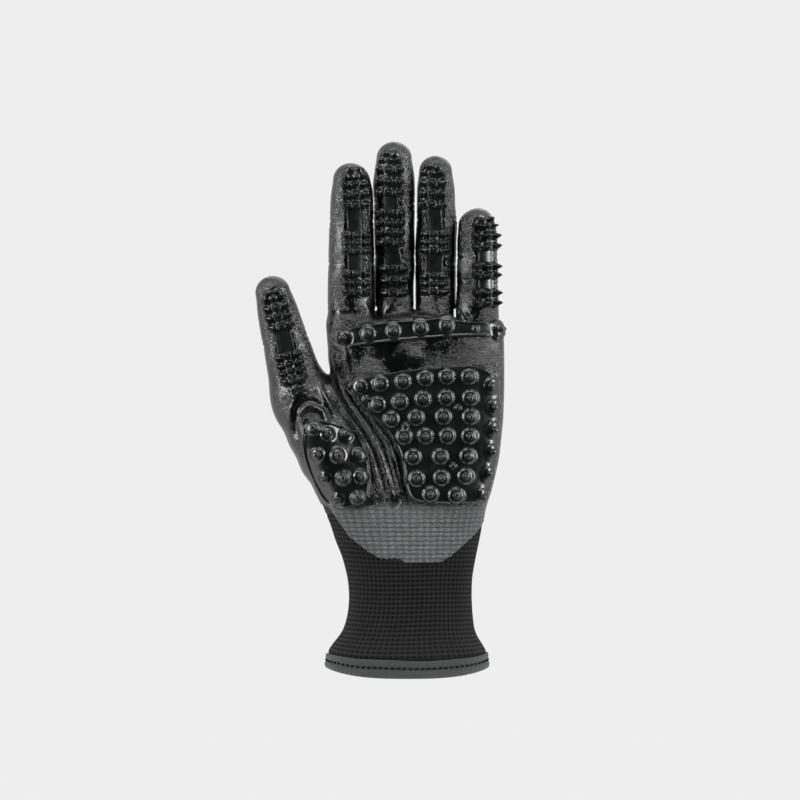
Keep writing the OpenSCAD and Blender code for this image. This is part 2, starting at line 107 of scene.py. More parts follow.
THENAR_EDGE = [
    [-46.4, 114.8], [-43, 116.4], [-30.3, 113.6], [-22, 110.6], [-18.6, 104.3], [-16.6, 95.2], [-16.6, 84],
    [-18.6, 76.4], [-30.3, 75.6], [-36.4, 78.3], [-43, 90.6], [-47.4, 104.3],
]
KNUCKLE_EDGE = [
    [-33.4, 152.4], [-31.6, 156], [-20, 158.4], [-7.5, 160.2], [6.1, 161], [18.4, 162.4], [23, 160.2],
    [46, 160], [46, 152.4], [28.5, 153.3], [12, 152.4], [-5.2, 151], [-20, 149.2], [-29.6, 147.8],
    [-32.6, 149.4],
]
SKIN = 0.55  # how far the knit lies under the coating
PAD = 1.2  # thickness of the rubber


# ---------------------------------------------------------------------------
# Distance fields; every p is an (n, 3) array in millimetres


def smin(a, b, k):
    h = np.maximum(k - np.abs(a - b), 0) / k
    return np.minimum(a, b) - h * h * k / 4


def smax(a, b, k):
    return -smin(-a, -b, k)


def step(a, b, x):
    """A smooth step from 0 at a to 1 at b."""
    t = np.clip((x - a) / (b - a), 0, 1)
    return t * t * (3 - 2 * t)


def round_cone(p, a, b, ra, rb):
    """Two spheres and the cone between them."""
    a, b = np.asarray(a, float), np.asarray(b, float)
    ba = b - a
    l2 = ba @ ba
    rr = ra - rb
    a2 = l2 - rr * rr
    pa = p - a
    y = pa @ ba
    z = y - l2
    x2 = ((pa * l2 - y[:, None] * ba) ** 2).sum(1)
    y2, z2 = y * y * l2, z * z * l2
    k = np.sign(rr) * rr * rr * x2
    mid = (np.sqrt(x2 * a2 / l2) + y * rr) / l2 - ra
    end = np.sqrt(x2 + z2) / l2 - rb
    low = np.sqrt(x2 + y2) / l2 - ra
    return np.where(np.sign(z) * a2 * z2 > k, end, np.where(np.sign(y) * a2 * y2 < k, low, mid))


def chain(p, points, radii, k):
    """Round cones one after another, blended over k."""
    d = round_cone(p, points[0], points[1], radii[0], radii[1])
    for i in range(1, len(points) - 1):
        d = smin(d, round_cone(p, points[i], points[i + 1], radii[i], radii[i + 1]), k)
    return d


def soften(values, reach, width):
    """Values smoothed along a list."""
    kernel = np.exp(-0.5 * (np.arange(-reach, reach + 1) / width) ** 2)
    return np.convolve(np.pad(values, reach, mode="edge"), kernel / kernel.sum(), "valid")


_rows = np.array(HAND_ROWS, float)
ROW_Z = np.arange(-12, 180, 0.5)
ROW = [soften(np.interp(ROW_Z, _rows[:, 0], _rows[:, k]), 16, 5.0) for k in range(1, 6)]


def palm_side(p):
    """The hand's lofted outline, without its top."""
    z = p[:, 2]
    left, right, front, back, n = (np.interp(z, ROW_Z, r) for r in ROW)
    hx = (right - left) / 2
    hy = np.where(p[:, 1] < 0, front, back)
    u = np.abs(p[:, 0] - (left + right) / 2) / hx + 1e-6
    v = np.abs(p[:, 1]) / hy + 1e-6
    # the palm side is squarer towards the little finger
    square = step(0.1, 0.7, (p[:, 0] - (left + right) / 2) / hx) * step(0, -4, p[:, 1])
    square = square * step(66, 84, z) * step(158, 144, z)
    n = n + (3.9 - n) * square
    q = (u**n + v**n) ** (1 / n)
    g = q ** (1 - n) * np.sqrt((u ** (n - 1) / hx) ** 2 + (v ** (n - 1) / hy) ** 2)
    return (q - 1) / np.maximum(g, 1e-3)


def palm(p):
    return smax(palm_side(p), p[:, 2] - np.interp(p[:, 0], TOP_X, TOP_Z), 5.0)


def mound(p):
    """The ball of the thumb."""
    q = p.copy()
    s = 1.24 - 0.24 * step(98, 124, p[:, 2])
    q[:, 1] = (p[:, 1] + 4) / s - 4
    return chain(q, [m[:3] for m in MOUND], [m[3] for m in MOUND], 1.5)


class Limb:
    """A finger or the thumb: its axis and creases come from the frame's hinges."""

    def __init__(self, name, segments, length, dome, turns, pads, start=0.0):
        self.name, self.length = name, length
        hinges = [JOINTS[f"{name}_{s}"] for s in segments]
        lo, hi = (np.array(v) * 1000 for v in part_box(f"{name}_{segments[0]}_liner"))
        axis = np.array(hinges[0]["axis"], float)
        thumb = abs(axis[2]) > 0.01
        self.e1 = axis if thumb else np.array([1.0, 0, 0])
        self.e2 = np.array([0.0, 1, 0])
        self.e3 = np.cross(self.e1, self.e2)
        self.twist = 0.0 if thumb else math.atan2(axis[1], axis[0])
        back = np.cross(self.e3, axis)
        pos = [np.array(h["pos_m"], float) * 1000 for h in hinges]
        centre = (lo + hi) / 2
        self.radii = [float((centre - q) @ back) for q in pos]
        self.o = pos[0] + self.radii[0] * back
        self.creases = [float((q - pos[0]) @ self.e3) for q in pos]
        self.dome, self.turns, self.pads = dome, turns, pads
        self.broad = 1.07 if thumb else 1.04
        self.press = {-1: None, 1: None}  # how far each side swells towards its neighbour
        starts = [start] + [p[1] for p in pads[:-1]]
        self.zones = [(s, p[0] + (0.5 if start else 0)) for s, p in zip(starts, pads)]
        if start:
            self.zones[1] = (pads[0][1], pads[1][0])
        self.cuts = [(p[0] + p[1]) / 2 for p in pads[:-1]]
        hs = [-20 if not thumb else -3] + self.creases + [length - 13.5, length - 0.84 * dome]
        rs = [self.radii[0] * (0.9 if not thumb else 1)] + self.radii + [dome, 0.84 * dome]
        self.low, self.end = hs[0], length - 0.84 * dome
        self.hs = np.arange(-40, length + 20, 0.5)
        self.rs = soften(np.interp(self.hs, hs, rs), 14, 6.0)
        self.body = [f"{name}_{s}" for s in segments]

    def field(self, p):
        q = p - self.o
        side = q @ self.e1
        broad = np.full(len(p), self.broad)
        for sign, swell in self.press.items():
            if swell is not None:
                broad += np.where(side * sign > 0, np.interp(p[:, 2], *swell), 0) * step(0, 4, side * sign)
        v = q @ self.e3
        r = np.interp(np.minimum(v, self.end), self.hs, self.rs)
        past = np.maximum(np.maximum(v - self.end, self.low - v), 0)
        return np.sqrt((side / broad) ** 2 + (q @ self.e2) ** 2 + past**2) - r

    def half_width(self, z):
        return np.interp(z - self.o[2], self.hs, self.rs) * self.broad

    def polar(self, p):
        """Angle round the axis from the palm side, and distance along it."""
        q = p - self.o
        return np.arctan2(q @ self.e1, -(q @ self.e2)), q @ self.e3

    def span(self, zone):
        """The two ends of a zone along the axis, in metres."""
        return [tuple((self.o + self.e3 * v) * 0.001) for v in zone]


# Length, radius near the tip, turn of each pad in degrees, and low end, high end and rows of each pad
FINGERS = {
    "index": (67.0, 9.2, [13, 13, 11], [(6.6, 18.4, 3), (25.1, 35.7, 3), (45.8, 65.1, 4)]),
    "middle": (75.0, 8.9, [-2, -11, -14], [(4.2, 19.0, 3), (27.0, 44.2, 4), (49.7, 71.2, 4)]),
    "ring": (69.6, 8.3, [-6, -5, -10], [(5.9, 16.5, 3), (24.6, 35.5, 3), (45.2, 66.3, 4)]),
    "little": (50.5, 8.6, [24, 24, 24], [(5.6, 14.0, 2), (18.1, 25.9, 2), (30.9, 47.2, 3)]),
}
LIMBS = [Limb(name, ["proximal", "middle", "tip"], *values) for name, values in FINGERS.items()]
# Neighbours swell towards each other between two heights, so that they almost touch
for left, right, low, high in ((0, 1, 181, 223), (1, 2, 182, 198), (2, 3, 150, 208)):
    a, b = LIMBS[left], LIMBS[right]
    zz = np.arange(140, 240, 1.0)
    gap = (b.o[0] - b.half_width(zz)) - (a.o[0] + a.half_width(zz))
    swell = np.clip((gap - 0.08) / 2, 0, 1.2) / 9.0
    swell = swell * step(low - 5, low + 3, zz) * step(high + 6, high - 4, zz)
    a.press[1] = b.press[-1] = (zz, swell)
THUMB = Limb("thumb", ["proximal", "tip"], 56.0, 8.5, [-3, 0], [(6.0, 20.8, 4), (31.1, 50.8, 4)], start=2.0)


def hand(p):
    d = smin(palm(p), mound(p), 9.0)
    return smin(d, THUMB.field(p), 6.0)


def skin(p):
    """The whole glove without its rubber."""
    f = LIMBS[0].field(p)
    for limb in LIMBS[1:]:
        f = smin(f, limb.field(p), 0.6)
    return smin(hand(p), f, 4.0)


def limb_field(limb):
    """A limb with the part of the hand that it grows from."""
    if limb is THUMB:
        return hand
    return lambda p: smin(palm(p), limb.field(p), 4.0)


# ---------------------------------------------------------------------------
# Meshing


def nets(values, lo, h):
    """Surface nets of a sampled field: vertices and quads."""
    nx, ny, nz = values.shape
    shape = (nx - 1, ny - 1, nz - 1)
    size = shape[0] * shape[1] * shape[2]
    total = np.zeros((size, 3))
    count = np.zeros(size)
    edges = []
    for axis in range(3):
        a, b = [slice(None)] * 3, [slice(None)] * 3
        a[axis], b[axis] = slice(None, -1), slice(1, None)
        d0, d1 = values[tuple(a)], values[tuple(b)]
        at = np.argwhere((d0 < 0) != (d1 < 0))
        v0, v1 = d0[tuple(at.T)], d1[tuple(at.T)]
        pos = at.astype(float)
        pos[:, axis] += v0 / (v0 - v1)
        others = [k for k in range(3) if k != axis]
        cells = []
        for da, db in ((0, 0), (-1, 0), (-1, -1), (0, -1)):
            c = at.copy()
            c[:, others[0]] += da
            c[:, others[1]] += db
            ok = np.all((c >= 0) & (c < shape), axis=1)
            flat = np.where(ok, c[:, 0] * shape[1] * shape[2] + c[:, 1] * shape[2] + c[:, 2], -1)
            for k in range(3):
                total[:, k] += np.bincount(flat[ok], pos[ok, k], size)
            count += np.bincount(flat[ok], minlength=size)
            cells.append(flat)
        quad = np.stack(cells, 1)
        whole = (quad >= 0).all(1)
        flip = (v0 < 0) != (axis == 1)
        quad = np.where(flip[:, None], quad, quad[:, ::-1])[whole]
        edges.append(quad)
    used = np.flatnonzero(count > 0)
    index = np.full(size, -1)
    index[used] = np.arange(len(used))
    verts = total[used] / count[used][:, None] * h + lo
    return verts, index[np.concatenate(edges)]


def sample(field, lo, hi, h):
    """A field's values on a grid, plane by plane, and the grid's corner."""
    lo, hi = np.array(lo, float), np.array(hi, float)
    axes = [np.arange(l, u + h, h) for l, u in zip(lo, hi)]
    out = np.empty([len(a) for a in axes])
    yz = np.stack(np.meshgrid(axes[1], axes[2], indexing="ij"), -1).reshape(-1, 2)
    for i, x in enumerate(axes[0]):
        p = np.column_stack([np.full(len(yz), x), yz])
        out[i] = field(p).reshape(out.shape[1:])
    return out, lo


def gradient(field, p, e=0.06):
    g = np.empty_like(p)
    for k in range(3):
        d = np.zeros(3)
        d[k] = e
        g[:, k] = (field(p + d) - field(p - d)) / (2 * e)
    return g


def skin_mesh(field, lo, hi, h):
    """Triangles of a field's surface, with the vertices moved on to it."""
    verts, quads = nets(*sample(field, lo, hi, h), h)
    for _ in range(2):
        g = gradient(field, verts)
        move = (field(verts) / np.maximum((g * g).sum(1), 0.2))[:, None] * g
        verts = verts - np.clip(move, -0.6, 0.6)
    return verts, triangles(quads)


def triangles(quads):
    return np.concatenate([quads[:, [0, 1, 2]], quads[:, [0, 2, 3]]])


def normals(verts, tris):
    n = np.cross(verts[tris[:, 1]] - verts[tris[:, 0]], verts[tris[:, 2]] - verts[tris[:, 0]])
    out = np.zeros_like(verts)
    for k in range(3):
        for c in range(3):
            out[:, c] += np.bincount(tris[:, k], n[:, c], len(verts))
    return out / np.maximum(np.linalg.norm(out, axis=1), 1e-9)[:, None]


def clip(verts, tris, s, *more):
    """The part of a mesh where s <= 0, cut cleanly; `more` are arrays carried along the vertices."""
    keep = s <= 0
    k = keep[tris].sum(1)
    two, one = tris[k == 2], tris[k == 1]
    m2 = keep[two]
    roll = np.argmin(m2, 1)
    two = np.take_along_axis(two, (roll[:, None] + np.arange(3)) % 3, 1)
    m1 = keep[one]
    roll = np.argmax(m1, 1)
    one = np.take_along_axis(one, (roll[:, None] + np.arange(3)) % 3, 1)
    pairs = np.concatenate([two[:, [0, 1]], two[:, [0, 2]], one[:, [0, 1]], one[:, [0, 2]]])
    pairs = np.sort(pairs, 1)
    uniq, back = np.unique(pairs, axis=0, return_inverse=True)
    back = back.reshape(-1)
    a, b = uniq[:, 0], uniq[:, 1]
    t = (s[a] / (s[a] - s[b]))[:, None] if len(uniq) else np.zeros((0, 1))
    n = len(verts)
    n2, n1 = len(two), len(one)
    t01, t02 = n + back[:n2], n + back[n2 : 2 * n2]
    o01, o02 = n + back[2 * n2 : 2 * n2 + n1], n + back[2 * n2 + n1 :]
    faces = np.concatenate(
        [
            tris[k == 3],
            np.column_stack([t01, two[:, 1], two[:, 2]]),
            np.column_stack([t01, two[:, 2], t02]),
            np.column_stack([one[:, 0], o01, o02]),
        ]
    )
    used = np.unique(faces)
    index = np.full(n + len(uniq), -1)
    index[used] = np.arange(len(used))
    arrays = []
    for arr in (verts, *more):
        arr = np.asarray(arr, float)
        w = t if arr.ndim == 2 else t[:, 0]
        arrays.append(np.concatenate([arr, arr[a] * (1 - w) + arr[b] * w])[used])
    return [arrays[0], index[faces], *arrays[1:]]


def make(name, verts, faces, material, uv=None, normal=None):
    """A mesh object from arrays in millimetres."""
    me = bpy.data.meshes.new(name)
    faces = np.asarray(faces)
    me.vertices.add(len(verts))
    me.vertices.foreach_set("co", (np.asarray(verts) * 0.001).astype(np.float32).ravel())
    me.loops.add(faces.size)
    me.loops.foreach_set("vertex_index", faces.astype(np.int32).ravel())
    me.polygons.add(len(faces))
    me.polygons.foreach_set("loop_start", np.arange(0, faces.size, faces.shape[1], dtype=np.int32))
    me.update(calc_edges=True)
    me.polygons.foreach_set("use_smooth", np.ones(len(faces), bool))
    if uv is not None:
        layer = me.uv_layers.new(name="knit")
        per = uv[faces]
        if per.shape[-1] == 3:  # the third column is the number of wales round, where u wraps
            wales = per[..., 2]
            u = per[..., 0]
            u = u - np.round((u - u[:, :1]) / wales) * wales
            per = np.stack([u, per[..., 1]], -1)
        layer.data.foreach_set("uv", per.astype(np.float32).ravel())
    me.update()
    if normal is not None:
        n = normal / np.maximum(np.linalg.norm(normal, axis=1), 1e-9)[:, None]
        me.normals_split_custom_set_from_vertices(n.tolist())
    me.materials.append(material)
    ob = bpy.data.objects.new(name, me)
    bpy.context.scene.collection.objects.link(ob)
    return ob


class Wrap:
    """A surface unrolled round an axis: u runs across it in millimetres from the palm side, v along it."""

    def __init__(self, field, o, e1, e3, v0, v1, dome=None, dphi=1.5, dv=0.6):
        self.o, self.e1, self.e2, self.e3 = (np.array(a, float) for a in (o, e1, (0, 1, 0), e3))
        self.v = np.arange(v0, v1 + dv, dv)
        self.phi = np.radians(np.arange(-180, 180 + dphi, dphi))
        v, phi = np.meshgrid(self.v, self.phi, indexing="ij")
        tilt = np.zeros_like(v)
        h = v
        if dome:
            tilt = np.clip((v - dome[0]) / dome[1], 0, math.pi / 2 - 0.02)
            h = np.minimum(v, dome[0])
        d = (
            np.cos(tilt)[..., None] * (np.sin(phi)[..., None] * self.e1 - np.cos(phi)[..., None] * self.e2)
            + np.sin(tilt)[..., None] * self.e3
        ).reshape(-1, 3)
        at = (self.o + h[..., None] * self.e3).reshape(-1, 3)
        r = np.full(len(d), 1.0)
        for _ in range(60):
            r = r - field(at + d * r[:, None]) * 0.92
        self.P = (at + d * r[:, None]).reshape(v.shape + (3,))
        du = np.gradient(self.P, axis=1)
        dvv = np.gradient(self.P, axis=0)
        n = np.cross(du, dvv)
        self.N = n / np.maximum(np.linalg.norm(n, axis=-1), 1e-9)[..., None]
        seg = np.linalg.norm(np.diff(self.P, axis=1), axis=-1)
        s = np.concatenate([np.zeros((len(self.v), 1)), np.cumsum(seg, 1)], 1)
        self.s = s - s[:, [len(self.phi) // 2]]
        self.dome = dome

    def _look(self, table, v, c, cols):
        i = np.clip((v - self.v[0]) / (self.v[1] - self.v[0]), 0, len(self.v) - 1.001)
        j = np.clip((c - cols[0]) / (cols[1] - cols[0]), 0, len(cols) - 1.001)
        i0, j0 = i.astype(int), j.astype(int)
        fi, fj = i - i0, j - j0
        if table.ndim == 3:
            fi, fj = fi[:, None], fj[:, None]
        return (table[i0, j0] * (1 - fi) * (1 - fj) + table[i0 + 1, j0] * fi * (1 - fj)
                + table[i0, j0 + 1] * (1 - fi) * fj + table[i0 + 1, j0 + 1] * fi * fj)

    def u_of(self, v, phi):
        return self._look(self.s, v, phi, self.phi)

    def at(self, u, v, h, turn=0.0, lean=0.0):
        """World points of (u, v, h); u is measured from the line that is `turn` away from the palm side.

        With `lean`, what stands above the rubber sheet turns towards the palm side.
        """
        if not hasattr(self, "back"):
            self.us = np.linspace(self.s.min(), self.s.max(), 400)
            self.back = np.array([np.interp(self.us, row, self.phi) for row in self.s])
        u0 = self.u_of(v, np.full(len(v), turn)) if turn else 0.0
        phi = self._look(self.back, v, u + u0, self.us)
        n = self._look(self.N, v, phi, self.phi)
        n /= np.linalg.norm(n, axis=1)[:, None]
        m = n - lean * self.e2
        m /= np.linalg.norm(m, axis=1)[:, None]
        low = PAD + 0.5  # the sheet and its rim
        out = n * np.minimum(h, low)[:, None] + m * np.maximum(h - low, 0)[:, None]
        return self._look(self.P, v, phi, self.phi) + out

    def place(self, p):
        """u and v of points near the surface."""
        q = p - self.o
        v = q @ self.e3
        return np.column_stack([self.u_of(v, np.arctan2(q @ self.e1, -(q @ self.e2))), v])


def front(x, z, field, side=-2.5):
    """Points of the palm side at x, z; beyond the hand's edge they lie on its side."""
    p = np.column_stack([x, np.full(len(x), -45.0), z]).astype(float)
    for _ in range(60):
        p[:, 1] += field(p) * 0.8
    lost = (p[:, 1] > side) | (np.abs(field(p)) > 0.3)
    p[lost, 1] = side
    return p


def polygon_distance(pts, poly):
    """Distance to an outline, negative inside it."""
    d = np.full(len(pts), 1e9)
    inside = np.zeros(len(pts), bool)
    for a, b in zip(poly, np.roll(poly, -1, axis=0)):
        e, w = b - a, pts - a
        t = np.clip((w @ e) / max(e @ e, 1e-9), 0, 1)
        d = np.minimum(d, ((w - t[:, None] * e) ** 2).sum(1))
        c = (a[1] <= pts[:, 1]) != (b[1] <= pts[:, 1])
        side = e[0] * w[:, 1] - e[1] * w[:, 0]
        inside ^= c & ((side > 0) == (b[1] > a[1]))
    return np.where(inside, -1, 1) * np.sqrt(d)


def smooth_polygon(poly):
    """An outline with its corners cut twice."""
    p = np.array(poly, float)
    for _ in range(2):
        q = np.roll(p, -1, axis=0)
        p = np.stack([p * 0.75 + q * 0.25, p * 0.25 + q * 0.75], 1).reshape(-1, 2)
    return p


# ---------------------------------------------------------------------------
# Materials


class Nodes:
    def __init__(self, name):
        self.m = bpy.data.materials.new(name)
        self.m.use_nodes = True
        self.t = self.m.node_tree
        self.bsdf = next(n for n in self.t.nodes if n.type == "BSDF_PRINCIPLED")

    def put(self, socket, value):
        if isinstance(value, bpy.types.NodeSocket):
            self.t.links.new(value, socket)
        else:
            socket.default_value = value

    def node(self, kind, props=None, **inputs):
        n = self.t.nodes.new(kind)
        for k, v in (props or {}).items():
            setattr(n, k, v)
        for k, v in inputs.items():
            self.put(n.inputs[k.replace("_", " ")], v)
        return n

    def math(self, op, a, b=None):
        n = self.t.nodes.new("ShaderNodeMath")
        n.operation = op
        self.put(n.inputs[0], a)
        if b is not None:
            self.put(n.inputs[1], b)
        return n.outputs[0]

    def add(self, a, b):
        return self.math("ADD", a, b)

    def sub(self, a, b):
        return self.math("SUBTRACT", a, b)

    def mul(self, a, b):
        return self.math("MULTIPLY", a, b)

    def size(self, a):
        return self.math("ABSOLUTE", a)

    def fract(self, a):
        return self.math("FRACT", a)

    def sine(self, a):
        return self.math("SINE", a)

    def remap(self, v, a, b, c, d):
        n = self.t.nodes.new("ShaderNodeMapRange")
        for i, x in enumerate((v, a, b, c, d)):
            self.put(n.inputs[i], x)
        return n.outputs[0]

    def mix(self, f, a, b):
        n = self.t.nodes.new("ShaderNodeMix")
        n.data_type = "RGBA"
        self.put(n.inputs[0], f)
        self.put(n.inputs[6], (*a, 1) if isinstance(a, tuple) else a)
        self.put(n.inputs[7], (*b, 1) if isinstance(b, tuple) else b)
        return n.outputs[2]

    def noise(self, scale, detail=3, rough=0.55, where=None):
        n = self.node("ShaderNodeTexNoise", Scale=scale, Detail=detail, Roughness=rough)
        self.t.links.new(where or self.place(), n.inputs["Vector"])
        return n.outputs["Fac"]

    def place(self):
        if not hasattr(self, "_place"):
            self._place = self.node("ShaderNodeTexCoord").outputs["Object"]
        return self._place

    def uv(self):
        n = self.node("ShaderNodeUVMap", {"uv_map": "knit"})
        s = self.node("ShaderNodeSeparateXYZ")
        self.t.links.new(n.outputs[0], s.inputs[0])
        return s.outputs[0], s.outputs[1]

    def bump(self, height, distance, strength=1.0, normal=None):
        n = self.node("ShaderNodeBump", Height=height, Distance=distance, Strength=strength)
        if normal:
            self.t.links.new(normal, n.inputs["Normal"])
        return n.outputs[0]

    def set(self, **values):
        for k, v in values.items():
            if isinstance(v, tuple):
                v = (*v, 1)
            self.put(self.bsdf.inputs[k.replace("_", " ")], v)
        return self.m


def knit_height(n):
    """Stocking stitch: two slanting legs to a wale; u counts wales and v counts courses."""
    u, v = n.uv()
    wob = n.mul(n.sub(n.noise(420, 2), 0.5), 0.5)
    u = n.add(u, wob)
    a = n.mul(n.size(n.sub(n.fract(u), 0.5)), 2)
    slant = n.add(n.add(v, n.mul(wob, 0.6)), n.mul(a, -0.55))
    t = n.fract(slant)
    leg = n.sine(n.mul(t, math.pi))
    gap = n.sine(n.mul(n.math("POWER", a, 0.8), math.pi))
    gap = n.add(0.35, n.mul(gap, 0.65))
    return n.mul(n.math("POWER", leg, 0.7), gap)


def coating_material():
    n = Nodes("dipped_coating")
    h = knit_height(n)
    big = n.noise(55, 3)
    thin = n.remap(n.noise(85, 4, 0.6), 0.34, 0.66, 0.14, 1.0)
    z = n.node("ShaderNodeSeparateXYZ")
    n.t.links.new(n.place(), z.inputs[0])
    level = n.add(z.outputs[2], n.mul(n.sub(n.noise(120, 2), 0.5), 0.006))
    dry = n.remap(level, 0.0790, 0.0745, 0.0, 1.0)  # the rubber is thin and dull over the wrist
    thin = n.math("MAXIMUM", thin, dry)
    grain = n.noise(2600, 3, 0.7)
    spark = n.remap(n.noise(820, 2, 0.5), 0.48, 0.64, 0.0, 1.0)
    height = n.add(n.mul(h, thin), n.mul(grain, 0.12))
    height = n.add(height, n.mul(n.mul(spark, thin), 1.5))
    normal = n.bump(height, 0.00013, 1.0)
    normal = n.bump(big, 0.0010, 0.3, normal)
    weave = n.mul(h, thin)
    tone = n.mix(weave, (0.0016, 0.0019, 0.0018), (0.0062, 0.0077, 0.0072))
    u, v = n.uv()
    wave = n.mul(n.sine(n.mul(u, math.pi)), 0.10)
    course = n.add(n.add(n.mul(v, 0.5), wave), n.mul(n.noise(330, 2), 0.5))
    pair = n.size(n.sub(n.fract(course), 0.5))
    line = n.remap(pair, 0.34, 0.46, 1.0, 0.0)
    dots = n.add(0.76, n.mul(n.sine(n.mul(u, math.pi / 2)), 0.24))
    bright = n.mul(n.mul(line, dots), n.remap(n.noise(900, 3), 0.3, 0.7, 0.35, 1.0))
    pale = n.mix(bright, (0.009, 0.0100, 0.0102), (0.118, 0.124, 0.127))
    tone = n.mix(n.mul(dry, 0.95), tone, pale)
    rough = n.add(n.remap(n.noise(160, 4), 0.3, 0.7, 0.12, 0.22), n.mul(dry, 0.4))
    return n.set(Base_Color=tone, Roughness=rough, IOR=1.5, Normal=normal)


def rubber_material(name, low, high, ior=1.52):
    n = Nodes(name)
    big = n.noise(70, 3)
    fine = n.noise(900, 3, 0.6)
    height = n.add(n.mul(fine, 0.4), n.noise(260, 2))
    normal = n.bump(height, 0.00018, 0.5)
    tone = n.mix(n.remap(big, 0.35, 0.65, 0.0, 1.0), (0.0032, 0.0036, 0.0035), (0.0075, 0.0088, 0.0084))
    tone = n.mix(n.remap(n.noise(1800, 2), 0.6, 0.75, 0.0, 0.35), tone, (0.02, 0.024, 0.022))
    rough = n.remap(n.noise(240, 4), 0.3, 0.7, low, high)
    return n.set(Base_Color=tone, Roughness=rough, IOR=ior, Normal=normal)


def liner_material():
    n = Nodes("liner_knit")
    h = knit_height(n)
    fuzz = n.noise(3500, 3, 0.7)
    height = n.add(h, n.mul(fuzz, 0.3))
    normal = n.bump(height, 0.00028, 0.9)
    tone = n.mix(h, (0.0010, 0.0011, 0.0011), (0.0068, 0.0073, 0.0071))
    tone = n.mix(n.remap(n.noise(40, 3), 0.35, 0.7, 0.0, 0.35), tone, (0.0085, 0.0092, 0.0090))
    rough = n.remap(fuzz, 0.3, 0.7, 0.8, 0.95)
    n.set(Specular_IOR_Level=0.25, Sheen_Weight=0.06, Sheen_Roughness=0.45)
    return n.set(Base_Color=tone, Roughness=rough, Normal=normal)


def cuff_material():
    n = Nodes("waffle_knit")
    u, v = n.uv()
    fu, fv = n.fract(u), n.fract(v)
    cu = n.size(n.sub(fu, 0.5))
    cv = n.size(n.sub(fv, 0.5))
    pit = n.mul(n.remap(cu, 0.24, 0.33, 1.0, 0.0), n.remap(cv, 0.22, 0.31, 1.0, 0.0))
    line = n.remap(cv, 0.36, 0.47, 0.0, 1.0)
    yarn = n.sine(n.mul(n.add(u, n.mul(v, 0.5)), 2 * math.pi * 3))
    fuzz = n.noise(4200, 3, 0.7)
    height = n.add(n.mul(yarn, 0.22), n.mul(fuzz, 0.6))
    normal = n.bump(height, 0.00022, 0.8)
    cloud = n.remap(n.noise(60, 3), 0.3, 0.7, 0.0, 1.0)
    base = n.mix(cloud, (0.0027, 0.0028, 0.0026), (0.0041, 0.0042, 0.0039))
    # painted highlight: the lines along the raised ribs are painted lighter
    base = n.mix(n.mul(line, 0.55), base, (0.0165, 0.0180, 0.0170))
    # painted shade: the sunken pits are painted almost black
    tone = n.mix(pit, base, (0.0004, 0.0004, 0.0004))
    n.set(Specular_IOR_Level=0.25, Sheen_Weight=0.02, Sheen_Roughness=0.5)
    return n.set(Base_Color=tone, Roughness=0.95, Normal=normal)


def tape_material():
    n = Nodes("binding_tape")
    u, v = n.uv()
    thread = 2 * math.pi * 2.2
    weave = n.mul(n.sine(n.mul(u, thread)), n.sine(n.mul(v, thread)))
    fuzz = n.noise(3000, 3, 0.7)
    height = n.add(n.mul(weave, 0.5), fuzz)
    normal = n.bump(height, 0.00016, 0.7)
    cloud = n.remap(n.noise(90, 4), 0.3, 0.7, 0.0, 1.0)
    base = n.mix(cloud, (0.0092, 0.0113, 0.0108), (0.0150, 0.0182, 0.0174))
    base = n.mix(n.remap(weave, -1.0, 1.0, 0.0, 0.25), base, (0.0125, 0.0150, 0.0144))
    return n.set(Base_Color=base, Roughness=0.78, Normal=normal, Sheen_Weight=0.12, Sheen_Roughness=0.4)


def thread_material():
    n = Nodes("dark_thread")
    twist = n.noise(5200, 2)
    normal = n.bump(twist, 0.00012, 0.8)
    tone = n.mix(twist, (0.0008, 0.0009, 0.0009), (0.004, 0.0045, 0.0043))
    return n.set(Base_Color=tone, Roughness=0.9, Normal=normal, Specular_IOR_Level=0.1)


COAT = coating_material()
RUBBER = rubber_material("moulded_rubber", 0.16, 0.30)
FINE = rubber_material("nub_rubber", 0.18, 0.30, 1.38)
WEB = rubber_material("web_rubber", 0.20, 0.34)
KNIT = liner_material()
WAFFLE = cuff_material()
TAPE = tape_material()
THREAD = thread_material()

# ---------------------------------------------------------------------------
# Skin of the palm, the fingers and the thumb

COURSE = 1.0  # height of a course of the knit


def fold_line(p, line, amp, width, waves=0.0):
    """Height of a fold that follows a line of x, z points on the palm side."""
    line = np.array(line, float)
    q = p[:, [0, 2]]
    best = np.full(len(q), 1e9)
    signed = np.zeros(len(q))
    along = np.zeros(len(q))
    length = np.concatenate([[0], np.cumsum(np.linalg.norm(np.diff(line, axis=0), axis=1))])
    for i in range(len(line) - 1):
        a, e = line[i], line[i + 1] - line[i]
        t = np.clip(((q - a) @ e) / (e @ e), 0, 1)
        w = q - a - t[:, None] * e
        d = np.linalg.norm(w, axis=1)
        near = d < best
        best = np.where(near, d, best)
        signed = np.where(near, np.sign(e[0] * w[:, 1] - e[1] * w[:, 0]) * d, signed)
        along = np.where(near, (length[i] + t * (length[i + 1] - length[i])) / length[-1], along)
    shape = np.exp(-((best / width) ** 2))
    if waves:
        shape = shape * (2 * np.abs(np.cos(math.pi * signed / waves)) ** 0.8 - 1)
    return amp * shape * np.sin(math.pi * np.clip(along, 0.02, 0.98)) ** 0.6


